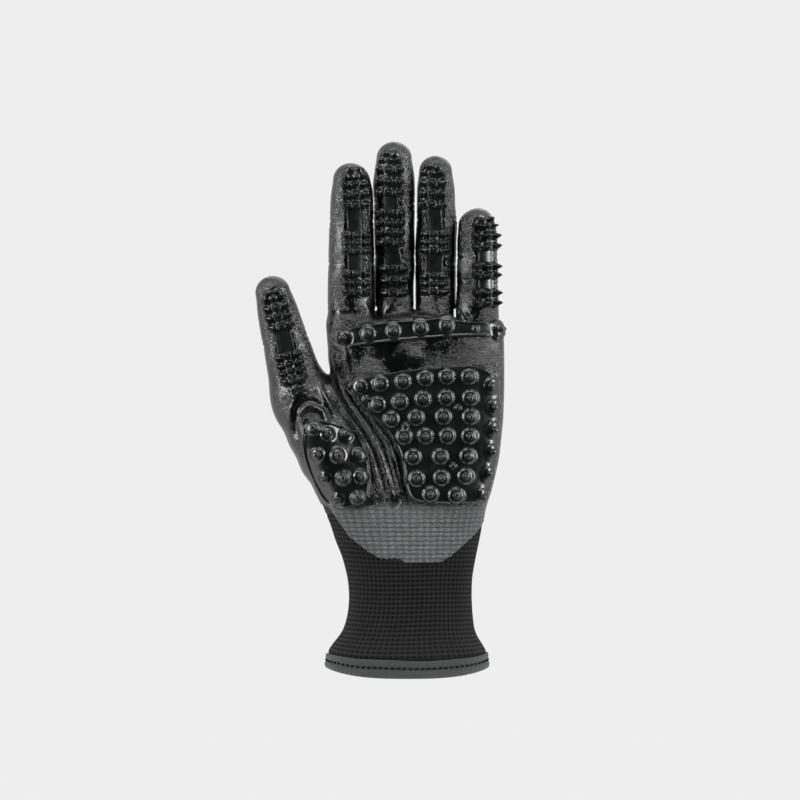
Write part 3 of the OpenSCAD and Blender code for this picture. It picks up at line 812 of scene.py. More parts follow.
FOLDS = [
    # long folds between the ball of the thumb and the palm
    ([[-33, 145], [-31, 134], [-27, 125], [-19.5, 114], [-13, 103], [-9.5, 91], [-6.5, 79]], 1.7, 6.2, 4.7),
    ([[-37, 121], [-31, 118.5], [-25, 115], [-19, 108], [-15.5, 99], [-13.5, 86]], 0.8, 2.0, 0.0),
    # folds round the thumb's root
    ([[-49, 119], [-44, 122.5], [-39, 120], [-36.5, 114.5]], 1.1, 4.2, 4.4),
    ([[-38, 128], [-35.5, 122], [-33, 117]], 0.8, 2.6, 3.4),
    ([[-39, 131], [-46.3, 126], [-50, 119.5], [-51, 112.5], [-48.5, 105], [-45, 98]], -1.0, 1.5, 0.0),
    ([[-42, 132.5], [-49, 127.5], [-52.5, 120.5], [-53.5, 112], [-51, 103]], 0.5, 1.5, 0.0),
    ([[-44, 101], [-40.5, 92], [-36, 84]], 0.5, 1.6, 3.6),
    # under the index and the ring finger
    ([[-31, 168], [-27, 163.5], [-22, 161.5]], -0.6, 1.5, 0.0),
    ([[-21.5, 171], [-17.5, 164.5], [-21, 160.5]], 0.6, 1.2, 0.0),
    ([[-0.6, 172], [-3, 166], [-5, 161]], 0.6, 1.3, 0.0),
    ([[9.9, 171.6], [14, 166], [18.6, 161]], 0.8, 1.1, 0.0),
    ([[18.6, 172.4], [25.6, 164.5], [31.1, 156.5]], 0.9, 1.3, 2.6),
    ([[-13, 168], [-10, 164.5], [-7, 168]], 0.45, 1.2, 0.0),
    ([[24, 151], [33, 149], [41, 151.5]], 0.35, 1.4, 0.0),
]


def palm_relief(p, n):
    facing = step(0.15, 0.6, -n[:, 1])
    h = np.zeros(len(p))
    for line, amp, width, waves in FOLDS:
        h += fold_line(p, line, amp, width, waves)
    back = step(0.2, 0.7, n[:, 1])
    soft = 0.35 * np.sin(p[:, 0] / 7.3 + 1.3) * np.sin(p[:, 2] / 11.7) * back
    lower = 0.22 * np.sin(p[:, 0] / 2.9 + 0.8 * np.sin(p[:, 2] / 9)) * step(88, 76, p[:, 2])
    return h * facing + soft + lower * facing


def limb_relief(limb, phi, v):
    """Small creases across the sides of each joint."""
    h = np.zeros(len(v))
    for k, c in enumerate(limb.creases):
        side = np.abs(np.sin(phi - math.radians(limb.turns[k]))) ** 2
        w = v - c
        wrinkle = np.cos(2 * math.pi * w / 2.6 + 2 * phi) * np.exp(-((w / 4.2) ** 2))
        h += 0.16 * side * wrinkle * (1 if k else 0.6)
        h -= 0.22 * np.exp(-((w / 2.4) ** 2)) * (k > 0)
    for k in range(len(limb.pads) - 1):
        a, b = limb.pads[k][1] + 0.6, limb.pads[k + 1][0] - 0.6
        turn = math.radians((limb.turns[k] + limb.turns[k + 1]) / 2)
        u = np.abs((phi - turn + math.pi) % (2 * math.pi) - math.pi) * limb.radii[0]
        ridge = np.exp(-(((u - 5.6 - 0.3 * np.sin(v * 1.7)) / 0.95) ** 2))  # beside the web
        h += (0.65 + 0.15 * np.sin(v * 2.3)) * ridge * step(a - 1.2, a + 0.8, v) * step(b + 1.2, b - 0.8, v)
    return h + 0.12 * np.sin(v / 6.1 + 2 * phi) * np.sin(phi + v / 17) * step(0, 8, v)


def coat_limit(p):
    """Negative where the hand is coated."""
    x, y, z = p.T
    edge = np.array(COAT_EDGE, float)
    low = np.interp(x, edge[:, 0], edge[:, 1])
    slope = np.interp(x + 0.5, edge[:, 0], edge[:, 1]) - np.interp(x - 0.5, edge[:, 0], edge[:, 1])
    run = np.concatenate([[0], np.cumsum(np.hypot(*np.diff(edge, axis=0).T))])
    rag = 0.6 * (np.abs(np.sin(math.pi * np.interp(x, edge[:, 0], run) / 2.35)) - 0.64)
    s1 = (low + 0.9 + rag - z) / np.sqrt(1 + slope**2)
    s2 = y - 5 - 0.9 * np.sin(z / 12.0 + 0.6) - 0.35 * np.sin(z / 3.7)
    return np.where(y > -2, smax(s1, s2, 1.0), s1)


def limb_coat(limb, p):
    """Negative where a limb is coated: its palm side, its sides and its tip."""
    phi, v = limb.polar(p)
    r = np.interp(v, limb.creases + [limb.length - 8, limb.length], limb.radii + [limb.dome, 1.5])
    turn = np.abs((phi - limb.twist + math.pi) % (2 * math.pi) - math.pi)
    s = r * (turn - math.radians(112)) + 0.5 * np.sin(v / 4.3 + 1) + 0.2 * np.sin(v * 1.5)
    s = smin(s, (limb.length - 7.5) - v + 0.4 * np.sin(3 * phi), 4.0)
    base = p[:, 1] - 5
    w = step(0, 11, v)
    return base * (1 - w) + s * w


def coated(verts, tris, n, s):
    """The part of a skin where s < 0, raised to the outside of the coating."""
    cv, ct, cn, cs = clip(verts, tris, s, n, s)
    cv = cv + cn * (-SKIN + 0.05 + (SKIN - 0.05) * np.sqrt(np.clip(-cs / 1.1, 0, 1)))[:, None]
    far = step(0.5, 3.0, -cs)[:, None]
    return cv, ct, normals(cv, ct) * (1 - far) + cn * far


def skin_pieces(verts, tris, relief, limit, cuts, uv):
    """A coated and a knitted piece for each (name, fields) of cuts, where none of its fields is above 0."""
    n0 = normals(verts, tris)
    verts = verts + n0 * relief(verts, n0)[:, None]
    n = normals(verts, tris)
    coat = (coated(verts, tris, n, limit(verts)), "coat", COAT, "coating")
    knit = ((verts - n * SKIN, tris, n), "knit", KNIT, "liner_knit")
    out = {}
    for name, fields in cuts:
        made = []
        for (v, t, vn), kind, look, slot in (coat, knit):
            for f in fields:
                v, t, vn = clip(v, t, f(v), vn)
            made.append(make(f"{name}_{kind}_skin", v, t, look, uv(v), vn))
        out[name] = made
    return out


def on_hand(ob, node):
    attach(ob, "hand")
    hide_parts(node)


SKIN_H, APRON_H, LIMB_H = ((0.7, 0.5, 0.6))  # grids of the skins
PALM_WALES, LIMB_WALES = 216.0, 60.0  # wales of the knit round the hand and round a limb
FORK = 15.5  # from the thumb's axis to its fork with the palm
SKIN_FOOT, APRON_TOP = 73.4, 73.6  # the palm's skin and the coating over the cuff overlap here


def beside_thumb(p):
    """Positive beyond the thumb's side, which passes through the fork."""
    return (p - THUMB.o) @ THUMB.e1 - FORK


def thumb_part(p):
    """Positive in the thumb's part of the skin."""
    return np.minimum((p - THUMB.o) @ THUMB.e3 - THUMB.zones[0][0], -beside_thumb(p))


def above_limbs(p):
    """Positive in the parts of the skin that belong to a finger or to the thumb."""
    out = np.full(len(p), -1e3)
    for limb in LIMBS:
        q = p - limb.o
        out = np.maximum(out, np.minimum(q[:, 2], limb.radii[0] + 1.2 - np.abs(q[:, 0])))
    return np.maximum(out, thumb_part(p))


hand_wrap = Wrap(hand, [2, 0, 0], [1, 0, 0], [0, 0, 1], 0, 163, dphi=1.5, dv=0.8)


def palm_uv(p):
    u = hand_wrap.u_of(p[:, 2], np.arctan2(p[:, 0] - 2, -p[:, 1]))
    lo, hi = (hand_wrap.u_of(p[:, 2], np.full(len(p), turn)) for turn in (-math.pi, math.pi))
    u = u / np.where(u < 0, -lo, hi) * PALM_WALES / 2
    return np.column_stack([u, p[:, 2] / COURSE, np.full(len(p), PALM_WALES)])


def palm_skin():
    verts, tris = skin_mesh(skin, [-70, -30, 71], [48, 22, 176], SKIN_H)
    cuts = [("palm", [above_limbs, lambda p: SKIN_FOOT - p[:, 2]])]
    made = skin_pieces(verts, tris, palm_relief, coat_limit, cuts, palm_uv)
    for ob, node in zip(made["palm"], ("palm_coating", "hand_liner")):
        on_hand(ob, node)


def coat_apron():
    """The lower end of the coating, which runs down over the cuff and shows the knit's courses."""
    verts, tris = skin_mesh(hand, [-48, -30, 44], [48, 12, 76], APRON_H)
    n = normals(verts, tris)
    courses = np.cos(math.pi * (verts[:, 2] / COURSE) + 0.5 * np.sin(verts[:, 0] * 1.3))
    courses = 0.17 * courses * step(73, 70, verts[:, 2])
    verts = verts + n * (palm_relief(verts, n) + courses)[:, None]
    v, t, n = coated(verts, tris, normals(verts, tris), coat_limit(verts))
    v, t, n = clip(v, t, v[:, 2] - APRON_TOP, n)
    on_hand(make("palm_coat_apron", v, t, COAT, palm_uv(v), n), "palm_coating")


def limb_skin(limb):
    """The skin of a finger or the thumb, cut at its joints."""
    is_thumb = limb is THUMB
    ends = np.array([limb.o - limb.e3 * 9, limb.o + limb.e3 * limb.length])
    room = max(limb.radii) + 3.5
    lo, hi = ends.min(0) - room, ends.max(0) + 3
    lo[2] = limb.o[2] - 9
    hi[:2] += room - 3
    if is_thumb:
        hi[0], lo[2] = -26, 112
    verts, tris = skin_mesh(limb_field(limb), lo, hi, LIMB_H)
    if not is_thumb:
        verts, tris = clip(verts, tris, np.abs(verts[:, 0] - limb.o[0]) - limb.radii[0] - 3.0)[:2]

    def relief(p, n):
        phi, h = limb.polar(p)
        folds = 0 if is_thumb else palm_relief(p, n) * step(6, 0, h)
        return folds + limb_relief(limb, phi, h)

    def limit(p):
        s = limb_coat(limb, p)
        return np.where((p - limb.o) @ limb.e3 > 0, s, coat_limit(p)) if is_thumb else s

    def uv(p):
        phi, v = limb.polar(p)
        return np.column_stack([phi / (2 * math.pi) * LIMB_WALES, v / COURSE, np.full(len(p), LIMB_WALES)])

    foot = (lambda p: -thumb_part(p)) if is_thumb else (lambda p: limb.o[2] - p[:, 2])
    cuts = []
    for k, body in enumerate(limb.body):
        fields = [lambda p, c=limb.cuts[k - 1]: c - (p - limb.o) @ limb.e3] if k else [foot]
        if is_thumb:
            fields.append(beside_thumb)
        if k < len(limb.cuts):
            fields.append(lambda p, c=limb.cuts[k]: (p - limb.o) @ limb.e3 - c)
        cuts.append((body, fields))
    made = skin_pieces(verts, tris, relief, limit, cuts, uv)
    for k, child in enumerate(limb.body):
        start, end = limb.span(limb.zones[k])
        for ob, node in zip(made[child], ("coating", "liner")):
            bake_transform(ob)
            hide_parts(f"{child}_{node}")


palm_skin()
coat_apron()
for limb in LIMBS + [THUMB]:
    limb_skin(limb)

# ---------------------------------------------------------------------------
# Rubber pads: each is shaped flat, as u, v and height, then wrapped on to the skin


NUB_STEP = 4.1  # between the columns of nubs on a finger
NUB_H, NUB_TIP, NUB_RISE = 4.2, 2.6, 1.15  # a large nub: height, diameter of its point, height of its dome
TURNING = 38  # nubs at a larger x than this stand where the palm turns round to the side
FINE_H, WEB_H, SHEET_H = ((0.27, 0.3, 0.42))  # grids of the pads


def flat_mesh(shape, u, v, h, pitch):
    """Mesh of shape(u, v, h) on a regular grid over the given ranges."""
    axes = [np.arange(a, b + pitch, pitch) for a, b in (u, v, h)]
    return nets(shape(*axes), np.array([u[0], v[0], h[0]]), pitch)


def put_cone(values, axes, nub, foot, top):
    """Unites sampled values with a round-topped cone at u, v, whose point leans."""
    U, V, H = axes
    a, b, lean = nub
    tip = 0.5
    i, j = (np.flatnonzero(np.abs(axis - at) < foot + 3.6) for axis, at in ((U, a), (V, b)))
    g = np.stack(np.meshgrid(U[i] - a, V[j] - b, H, indexing="ij"), -1).reshape(-1, 3)
    d = round_cone(g, [0, 0, 0.5], [lean[0], lean[1], top - tip], foot, tip)
    box = np.ix_(i, j, np.arange(len(H)))
    values[box] = smin(values[box], d.reshape(len(i), len(j), len(H)), 1.1)


def finger_nubs(a, b, rows, tip):
    """Nubs as u, v and lean, in three columns; the pad of a tip ends in two more."""
    pitch = (b - a - (7.1 if tip else 3.8)) / (rows - 1)
    nubs = []
    for r in range(rows):
        v = a + 1.9 + r * pitch
        near = 1 - 0.16 * step(b - 11, b - 5, v) if tip else 1.0
        for c in (-1, 0, 1):
            j = rng.normal(0, 0.12, 2)
            lean = rng.normal(0, 0.12, 2) + [c * 0.15, 0]
            nubs.append((c * NUB_STEP * near + j[0], v + j[1], lean))
    if tip:
        nubs += [(c * 3.9, b - 2.2, (0.1 * c, 0.3)) for c in (-0.5, 0.5)]
    return nubs


def finger_pad(limb, k, wrap):
    a, b, rows = limb.pads[k]
    tip = k == len(limb.pads) - 1
    tall = limb.name == "little"  # its nubs stand out further
    straight, bend = wrap.dome
    if tip:  # the pad's upper end, as a distance along the rounded end
        b = straight + bend * math.asin(min(0.99, max(0.0, (b - straight) / bend)))
    nubs = finger_nubs(a, b, rows, tip)
    corners = [(u, v) for u, v, _ in nubs if abs(u) > 3 or (tip and v > b - 3)]
    foot = 2.05 if tall else 1.85
    reach, end_reach = (4.0, 3.2) if tall else (3.0, 1.7)

    def shape(U, V, H):
        gu, gv = np.meshgrid(U, V, indexing="ij")
        top = b - (2.6 if tip else 0.0)
        wide = 6.0 * (1 - (0.45 * step(b - 8, b, gv) if tip else 0.0))
        q = np.stack([np.abs(gu) - (wide - 1.2), np.abs(gv - (a + top) / 2) - ((top - a) / 2 - 1.2)], -1)
        d2 = np.linalg.norm(np.maximum(q, 0), axis=-1) + np.minimum(q.max(-1), 0) - 1.2 + 0.35
        for u, v in corners:
            d2 = smin(d2, np.hypot(gu - u, gv - v) - 2.15, 0.5)
        d3, hh = d2[..., None], H[None, None, :]
        plate = smax(d3 + 0 * hh, np.abs(hh - (PAD - 1.1)) - 1.0 + 0 * d3, 0.5)
        rim = np.hypot(d3 + 0.5, hh - PAD) - 0.42
        values = smin(plate, rim, 0.45)
        for nub in nubs:
            at_end = tip and nub[1] >= b - 9
            put_cone(values, (U, V, H), nub, foot, PAD + (end_reach if at_end else reach))
        return values

    heights = (-1.4, 6.4 if tall else 5.4)
    verts, quads = flat_mesh(shape, (-8.2, 8.2), (a - 2.2, b + 2.2), heights, FINE_H)
    world = wrap.at(*verts.T, math.radians(limb.turns[k]))
    ob = make(f"{limb.body[k]}_nub_pad", world, quads, FINE)
    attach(ob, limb.body[k])
    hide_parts(f"{limb.body[k]}_pad")


def web(limb, k, wrap):
    """Thin smooth strip across the joint between pad k and the next one."""
    a, b = limb.pads[k][1] - 1.2, limb.pads[k + 1][0] + 1.2
    middle, half = (a + b) / 2, (b - a) / 2

    def shape(U, V, H):
        gu, gv, gh = np.meshgrid(U, V, H, indexing="ij")
        width = 3.75 + 0.9 * np.abs((gv - middle) / half) ** 6
        q = np.maximum(np.abs(gu) - width, np.abs(gv - middle) - half)
        body = smax(q, np.abs(gh - 0.1) - 0.62, 0.35)
        rim = np.hypot(np.abs(gu) - width + 0.35, gh - 0.62) - 0.3
        return smin(body, rim + np.maximum(q, 0), 0.3)

    verts, quads = flat_mesh(shape, (-6, 6), (a - 1, b + 1), (-1.2, 1.8), WEB_H)
    w = step(a, b, verts[:, 1])[:, None]
    low, high = (wrap.at(*verts.T, math.radians(limb.turns[i])) for i in (k, k + 1))
    ob = make(f"{limb.body[k + 1]}_web", low * (1 - w) + high * w, quads, WEB)
    start, end = limb.span(limb.zones[k + 1])
    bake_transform(ob)


for limb in LIMBS + [THUMB]:
    dome = (limb.length - limb.dome - 1.5, limb.dome + 1.5)
    top = dome[0] + dome[1] * 1.45
    wrap = Wrap(limb_field(limb), limb.o, limb.e1, limb.e3, 0.6, top, dome, dphi=3, dv=0.5)
    for k in range(len(limb.pads)):
        finger_pad(limb, k, wrap)
    for k in range(len(limb.pads) - 1):
        web(limb, k, wrap)


def domed_nub(values, u, v, h, dome, thick):
    """Unites a sheet's values with a dome, the grooves round it and round its point, and the point.

    u, v and h are measured from the nub's centre on the top of the sheet.
    """
    sphere = (dome * dome / 4 + NUB_RISE * NUB_RISE) / (2 * NUB_RISE)
    r = np.hypot(u, v)
    cap = np.hypot(r, h - NUB_RISE + sphere) - sphere
    values = smin(values, np.maximum(cap, -(h + thick + 0.5)), 0.25)
    for radius, height, size in ((dome / 2 + 0.1, 0.15, 0.42), (NUB_TIP / 2 + 0.55, NUB_RISE + 0.02, 0.34)):
        groove = np.hypot(r - radius, h - height) - size
        values = smax(values, -groove, 0.3)
    slant = rng.normal(0, 0.06, 2)
    point = np.hypot(np.hypot(u - slant[0] * h, v - slant[1] * h), np.maximum(h - NUB_H + NUB_TIP / 2, 0))
    return smin(values, np.maximum(point - NUB_TIP / 2, 0.3 - thick - h), 0.35)


def big_pad(name, node, field, wrap, edge, nubs, dots, dome, lean, thick=PAD, crown=0.0):
    """A rubber sheet with domed nubs, inside an outline of x, z points."""

    def where(points):
        x, z = np.array(points, float).T
        return wrap.place(front(x, z, field))

    poly, big = where(smooth_polygon(edge)), where(nubs)
    small = where(dots) if dots else []

    def shape(U, V, H):
        gu, gv = np.meshgrid(U, V, indexing="ij")
        d2 = polygon_distance(np.column_stack([gu.ravel(), gv.ravel()]), poly).reshape(gu.shape)
        for c in [c for c, at in zip(big, nubs) if at[0] < TURNING]:
            d2 = smin(d2, np.hypot(gu - c[0], gv - c[1]) - dome * 0.5 + 0.2, 1.2)
        wave = 0.10 * np.sin(gu / 2.7) * np.sin(gv / 3.4)
        d3, hh = d2[..., None], H[None, None, :]
        top = thick + (wave + crown * (1 - np.exp(np.minimum(d2, 0) / 1.6)) - 0.3 * crown)[..., None]
        values = smax(d3 + 0 * hh, np.abs(hh - (top - 1.0) / 2 + 0.5) - (top + 1.0) / 2 + 0 * d3, 0.7)
        # the raised rim fades out where the sheet turns round to the side
        rim = np.hypot(d3 + 0.7, hh - thick + 0.1) - 0.5 + 0.6 * step(29, 34, gu)[..., None]
        values = smin(values, rim, 0.5)
        for c in big:
            i, j = (np.flatnonzero(np.abs(axis - at) < dome * 0.5 + 2.2) for axis, at in zip((U, V), c))
            box = np.ix_(i, j, np.arange(len(H)))
            u, v = (U[i] - c[0])[:, None, None], (V[j] - c[1])[None, :, None]
            values[box] = domed_nub(values[box], u, v, hh - thick, dome, thick)
        for c in small:
            r = np.hypot(gu - c[0], gv - c[1])[..., None]
            values = smin(values, np.hypot(r, (hh - thick) * 1.1) - 1.5, 0.4)
        return values

    lo, hi = poly.min(0) - 3, poly.max(0) + 3
    heights = (-1.6, thick + NUB_H + 0.8)
    verts, quads = flat_mesh(shape, (lo[0], hi[0]), (lo[1], hi[1]), heights, SHEET_H)
    on_hand(make(name, wrap.at(*verts.T, lean=lean), quads, RUBBER), node)


def side_wrap(low, high, dv):
    return Wrap(palm_side, [6, 0, 0], [1, 0, 0], [0, 0, 1], low, high, dphi=1.0, dv=dv)


up = np.array([-27.0, 0, 56]) / math.hypot(27, 56)  # along the ball of the thumb
thenar_wrap = Wrap(hand, [-21, -2, 70], [up[2], 0, -up[0]], up, -8, 62, dphi=1.5, dv=0.6)
OVER_PALM = (palm_side, side_wrap(68, 156, 0.6), PALM_EDGE, PALM_NUBS, PALM_DOTS)
OVER_KNUCKLES = (palm_side, side_wrap(140, 168, 0.4), KNUCKLE_EDGE, KNUCKLE_NUBS, [[30.3, 156.6]])
OVER_THENAR = (hand, thenar_wrap, THENAR_EDGE, THENAR_NUBS, [])
big_pad("palm_nub_pad", "palm_pad", *OVER_PALM, dome=7.5, lean=2.2)
big_pad("knuckle_nub_pad", "knuckle_pad", *OVER_KNUCKLES, dome=7.4, lean=0.5, thick=PAD + 0.4, crown=1.0)
big_pad("thenar_nub_pad", "thenar_pad", *OVER_THENAR, dome=6.8, lean=0.4)

# ---------------------------------------------------------------------------
# Cuff, binding and stitches


def tube(grid_u, grid_v):
    """Quads of a grid closed in its first direction."""
    i = np.arange(grid_u)[:, None]
    j = np.arange(grid_v - 1)[None, :]
    a = i * grid_v + j
    b = ((i + 1) % grid_u) * grid_v + j
    return np.stack([a, b, b + 1, a + 1], -1).reshape(-1, 4)


def wrap_ring(wrap, count):
    """For each height, points spaced evenly round the section, with outward normals."""
    out, nor = [], []
    for row, s, n in zip(wrap.P, wrap.s, wrap.N):
        target = np.linspace(s[0], s[-1], count, endpoint=False)
        out.append(np.stack([np.interp(target, s, row[:, k]) for k in range(3)], 1))
        nor.append(np.stack([np.interp(target, s, n[:, k]) for k in range(3)], 1))
    nor = np.array(nor)
    return np.array(out), nor / np.linalg.norm(nor, axis=-1)[..., None]


def smile(x):
    """The rim hangs lower at the palm and the back than at its sides."""
    return 2.0 * np.clip(np.abs(x) / 37, 0, 1) ** 3.2


WALES_CUFF, PITCH_V = 74, 2.02  # waffles round the cuff, and the height of one
PER_U, PER_V = ((6, 5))  # points across a waffle and up it
RING, STITCHES = 450, 75  # points round the binding, and stitches in it
THREAD_ROWS, THREAD_SIDES = 9, 10  # points along a stitch and round it
cuff_wrap = Wrap(hand, [1, 0, 0], [1, 0, 0], [0, 0, 1], -2, 79, dphi=1.5, dv=1.0)

# The tape's section: distance out of the knit, and height
PROFILE = [
    [0.15, 6.4], [0.7, 6.65], [1.15, 6.3], [1.25, 5.4], [1.15, 4.5], [1.0, 3.9], [0.95, 3.55],
    [1.15, 3.2], [1.55, 2.6], [1.72, 1.8], [1.62, 0.9], [1.1, 0.25], [0.0, 0.02], [-1.6, 0.0],
    [-3.2, 0.1], [-3.9, 0.6], [-4.2, 1.8], [-4.15, 4.6], [-3.9, 5.7], [-3.3, 6.1], [-2.6, 5.8],
]


def waffle_cuff():
    """Pits and ribs outside, a smooth wall inside."""
    both = np.concatenate(wrap_ring(cuff_wrap, WALES_CUFF * PER_U), -1)  # points and normals
    zs = np.arange(1.2, 76.6, PITCH_V / PER_V)
    columns = both.transpose(1, 2, 0)
    columns = np.array([[np.interp(zs, cuff_wrap.v, value) for value in column] for column in columns])
    points, out = columns[:, :3].transpose(0, 2, 1), columns[:, 3:].transpose(0, 2, 1)
    z = zs[None, :]
    points[..., 2] += smile(points[..., 0]) * np.exp(-((z / 15) ** 2))
    u = np.arange(len(points))[:, None] / PER_U
    v = z / PITCH_V + 0.12 * np.sin(u / WALES_CUFF * 2 * math.pi * 3)
    across, along = np.abs(u % 1 - 0.5), np.abs(v % 1 - 0.5)
    pit = step(0.36, 0.16, across) * step(0.34, 0.14, along)
    rib = step(0.34, 0.5, along)
    sag = 0.35 * np.sin(u / WALES_CUFF * 2 * math.pi * 5 + z / 9) * step(6, 16, z) * step(72, 60, z)
    full = 2.3 * step(22, 8, z) * step(6.6, 9.2, z)  # the knit swells over the tape
    relief = -SKIN - 0.1 + full + (-0.55 * pit + 0.10 * rib) + sag - 0.55 * step(71, 75, z)
    outer = points + out * relief[..., None]
    inner = points + out * (-SKIN - 1.8 + sag)[..., None]
    uv = np.stack([u + 0 * v, v, np.full(v.shape, float(WALES_CUFF))], -1)
    verts = np.concatenate([outer, inner[:, ::-1]], 1).reshape(-1, 3)
    uv = np.concatenate([uv, uv[:, ::-1]], 1).reshape(-1, 3)
    rows = 2 * len(zs)
    start = np.arange(len(points)) * rows
    after = np.roll(start, -1)
    end = np.column_stack([start + rows - 1, after + rows - 1, after, start])
    faces = np.concatenate([tube(len(points), rows), end])
    on_hand(make("waffle_cuff", verts, faces, WAFFLE, uv), "cuff")


def spline(points, count):
    """A closed curve through the points."""
    p = np.array(points, float)
    n = len(p)
    t = np.arange(count) / count * n
    i = t.astype(int)
    f = (t - i)[:, None]
    a, b, c, d = p[(i - 1) % n], p[i % n], p[(i + 1) % n], p[(i + 2) % n]
    square, cube = 2 * a - 5 * b + 4 * c - d, 3 * b - a - 3 * c + d
    return 0.5 * (2 * b + (c - a) * f + square * f**2 + cube * f**3)


def rim_line():
    """Points round the cuff at the tape's middle, and the directions out of them."""
    columns = wrap_ring(cuff_wrap, RING)[0].transpose(1, 2, 0).reshape(-1, len(cuff_wrap.v))
    p = np.array([np.interp(3.0, cuff_wrap.v, c) for c in columns]).reshape(RING, 3)
    along = np.roll(p, -1, axis=0) - np.roll(p, 1, axis=0)
    n = np.column_stack([along[:, 1], -along[:, 0], 0 * along[:, 0]])
    n *= np.sign((n * (p - [1, 0, 3])).sum(1))[:, None]
    return p, n / np.linalg.norm(n, axis=1)[:, None]


rim_p, rim_n = rim_line()
turn = np.arange(RING) / RING * 2 * math.pi
lift = 0.18 * np.sin(3 * turn + 0.5) + 0.1 * np.sin(7 * turn)


def binding_tape():
    """The folded tape, pulled in at each stitch and puffed between them."""
    section = spline(PROFILE, 72) * [1, 1.25]
    puff = 0.06 * np.sin(STITCHES * turn)
    pulled = np.cos(STITCHES * turn) > 0.2
    verts = np.zeros((RING, len(section), 3))
    for k, (a, z) in enumerate(section):
        near = math.exp(-(((z - 4.6) / 0.9) ** 2)) * (a > 0)
        verts[:, k] = rim_p + rim_n * (a + puff * (a > 0) * (1 - near) - 0.12 * near * pulled)[:, None]
        verts[:, k, 2] = z + lift * (z / 6.0) + smile(rim_p[:, 0]) * (1.7 - 0.11 * z)
    n = len(section)
    i, j = np.arange(RING)[:, None], np.arange(n)[None, :]
    u, v = i / RING * 200 + 0 * j, j / n * 22 + 0 * i
    uv = np.stack([u, v, np.full(u.shape, 200.0)], -1).reshape(-1, 3)
    i2, j2 = (i + 1) % RING, (j + 1) % n
    quads = np.stack([i * n + j, i2 * n + j, i2 * n + j2, i * n + j2], -1).reshape(-1, 4)
    tape = make("binding_tape", verts.reshape(-1, 3), quads[:, ::-1], TAPE, uv)
    on_hand(tape, "cuff_binding")


def stitch(p, out, rise):
    """One short length of thread, thick in its middle, lying slanted on the tape."""
    z = 4.7 + smile(p[0]) * 1.18 + rise * 0.55 + rng.normal(0, 0.05)
    tilt = math.radians(8 + rng.normal(0, 3))
    along = np.cross([0, 0, 1.0], out) * math.cos(tilt) + np.array([0, 0, 1.0]) * math.sin(tilt)
    up = np.cross(out, along)
    centre = np.array([p[0], p[1], z])
    verts = []
    for a in np.linspace(-1, 1, THREAD_ROWS):
        w = max(0.02, (1 - abs(a) ** 3.0)) ** 0.5
        for b in np.linspace(0, 2 * math.pi, THREAD_SIDES, endpoint=False):
            height = math.sin(b) * 0.36 * w + 1.22 - 0.34 * a * a
            verts.append(centre + along * a * 0.98 + up * math.cos(b) * 0.46 * w + out * height)
    return verts


def binding_stitches():
    verts, quads = [], []
    for k in range(STITCHES):
        at = (k + 0.5) / STITCHES * RING
        k0, f = int(at) % RING, at - int(at)
        p, out = (line[k0] * (1 - f) + line[(k0 + 1) % RING] * f for line in (rim_p, rim_n))
        base = len(verts)
        verts += stitch(p, out, lift[k0])
        for r in range(base, base + (THREAD_ROWS - 1) * THREAD_SIDES, THREAD_SIDES):
            for b in range(THREAD_SIDES):
                b2 = (b + 1) % THREAD_SIDES
                quads.append([r + b, r + b2, r + THREAD_SIDES + b2, r + THREAD_SIDES + b])
    thread = make("binding_stitches", np.array(verts), np.array(quads), THREAD)
    on_hand(thread, "cuff_stitching")


waffle_cuff()
binding_tape()
binding_stitches()

# ---------------------------------------------------------------------------
# Stage, light and camera

# A white tent, dark behind the camera and brightest at its sides: how far back a direction points, and
# the brightness there
TENT = [
    [-1.0, 0.01], [-0.78, 0.015], [-0.55, 0.16], [-0.32, 2.0],
    [0.0, 1.6], [0.35, 0.85], [0.8, 0.8], [1.0, 0.8],
]
PALE = 0.855


def tent(tree, back):
    """Brightness for the y component of a direction; what the camera sees is one plain pale tone."""
    ramp = tree.nodes.new("ShaderNodeFloatCurve")
    half = tree.nodes.new("ShaderNodeMapRange")
    tree.links.new(back, half.inputs[0])
    half.inputs[1].default_value, half.inputs[2].default_value = -1.0, 1.0
    tree.links.new(half.outputs[0], ramp.inputs[1])
    points = ramp.mapping.curves[0].points
    ramp.mapping.use_clip = False
    for k, (x, b) in enumerate(TENT):
        at = ((x + 1) / 2, b / 3)
        if k in (0, len(TENT) - 1):
            points[0 if k == 0 else len(points) - 1].location = at
        else:
            points.new(*at)
    ramp.mapping.update()
    up = tree.nodes.new("ShaderNodeMath")
    up.operation = "MULTIPLY"
    tree.links.new(ramp.outputs[0], up.inputs[0])
    up.inputs[1].default_value = 3.0
    pick = tree.nodes.new("ShaderNodeMix")
    pick.data_type = "FLOAT"
    tree.links.new(tree.nodes.new("ShaderNodeLightPath").outputs["Is Camera Ray"], pick.inputs[0])
    tree.links.new(up.outputs[0], pick.inputs[2])
    pick.inputs[3].default_value = PALE
    return pick.outputs[0]


def floor_material():
    """Black in itself; it glows with the tent's tone in the direction in which it is seen."""
    n = Nodes("studio_floor")
    away = n.node("ShaderNodeVectorMath", {"operation": "SUBTRACT"})
    n.t.links.new(n.place(), away.inputs[0])
    away.inputs[1].default_value = (0, 0, 0.12)
    unit = n.node("ShaderNodeVectorMath", {"operation": "NORMALIZE"})
    n.t.links.new(away.outputs[0], unit.inputs[0])
    apart = n.node("ShaderNodeSeparateXYZ")
    n.t.links.new(unit.outputs[0], apart.inputs[0])
    n.set(Emission_Color=(1.0, 1.0, 1.0), Emission_Strength=tent(n.t, apart.outputs[1]))
    n.set(Specular_IOR_Level=0.0)
    return n.set(Base_Color=(0.001, 0.001, 0.001), Roughness=1.0)


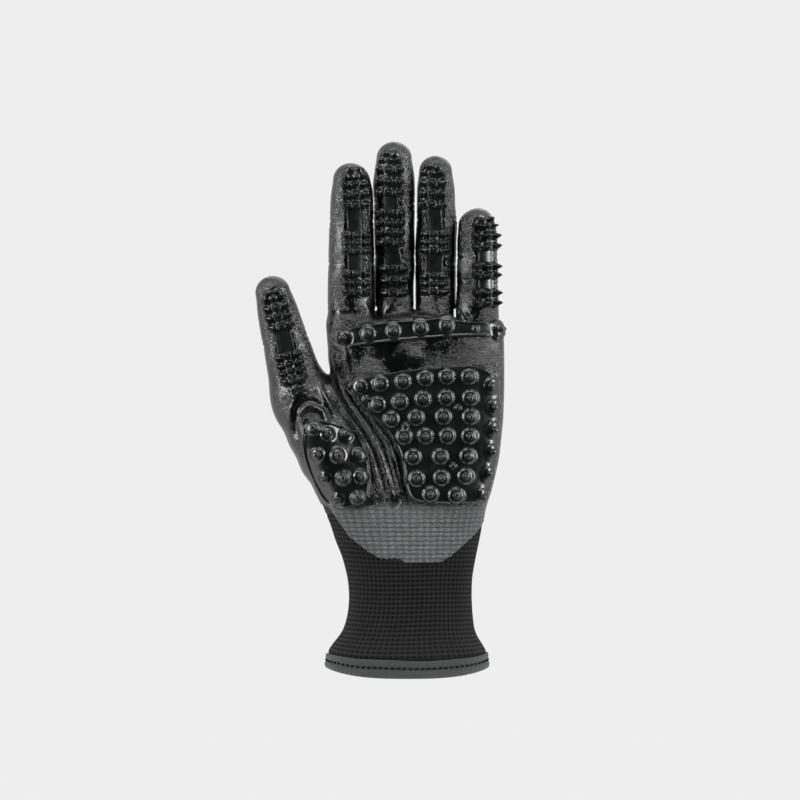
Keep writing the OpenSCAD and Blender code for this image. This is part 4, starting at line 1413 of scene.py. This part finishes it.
def floor():
    turns = 96
    angles = [2 * math.pi * k / turns for k in range(turns)]
    verts = [[0, 0, -0.4]] + [[9000 * math.cos(a), 9000 * math.sin(a), -0.4] for a in angles]
    tris = [[0, 1 + k, 1 + (k + 1) % turns] for k in range(turns)]
    make("studio_floor", np.array(verts), np.array(tris), floor_material())


def area(name, at, to, size, power):
    light = bpy.data.lights.new(name, "AREA")
    light.shape = "RECTANGLE"
    light.size, light.size_y = size
    light.energy = power
    ob = bpy.data.objects.new(name, light)
    ob.location = at
    ob.visible_camera = False
    ob.rotation_mode = "QUATERNION"
    ob.rotation_quaternion = (Vector(to) - Vector(at)).to_track_quat("-Z", "Y")
    bpy.context.scene.collection.objects.link(ob)


floor()
area("side_left", (-0.75, -0.42, 0.30), (0, 0, 0.13), (0.10, 0.8), 9.0)
area("side_right", (0.75, -0.42, 0.30), (0, 0, 0.13), (0.10, 0.8), 9.0)
area("top", (0, -0.40, 0.95), (0, 0, 0.12), (0.7, 0.10), 3.5)
area("back", (0.2, 0.95, 0.75), (0, 0, 0.12), (0.8, 0.5), 2)

scene = bpy.context.scene
scene.view_settings.view_transform = "Standard"
scene.view_settings.look = "None"


def surroundings():
    world = bpy.data.worlds.new("studio")
    world.use_nodes = True
    tree = world.node_tree
    apart = tree.nodes.new("ShaderNodeSeparateXYZ")
    tree.links.new(tree.nodes.new("ShaderNodeTexCoord").outputs["Generated"], apart.inputs[0])
    background = tree.nodes["Background"]
    tree.links.new(tent(tree, apart.outputs[1]), background.inputs["Strength"])
    background.inputs["Color"].default_value = (1, 1, 1, 1)
    scene.world = world


def camera(aim, distance, width):
    """A camera in front of aim, which sees a frame of this width at the glove."""
    data = bpy.data.cameras.new("camera")
    data.sensor_width = 36
    data.lens = 36 * distance / width
    ob = bpy.data.objects.new("camera", data)
    scene.collection.objects.link(ob)
    ob.location = Vector(aim) + Vector((0, -distance, 0))
    ob.rotation_mode = "QUATERNION"
    ob.rotation_quaternion = Vector((0, 1, 0)).to_track_quat("-Z", "Y")
    scene.camera = ob


surroundings()
camera((-0.0034, 0, 0.1248), 1.5, 0.3643)
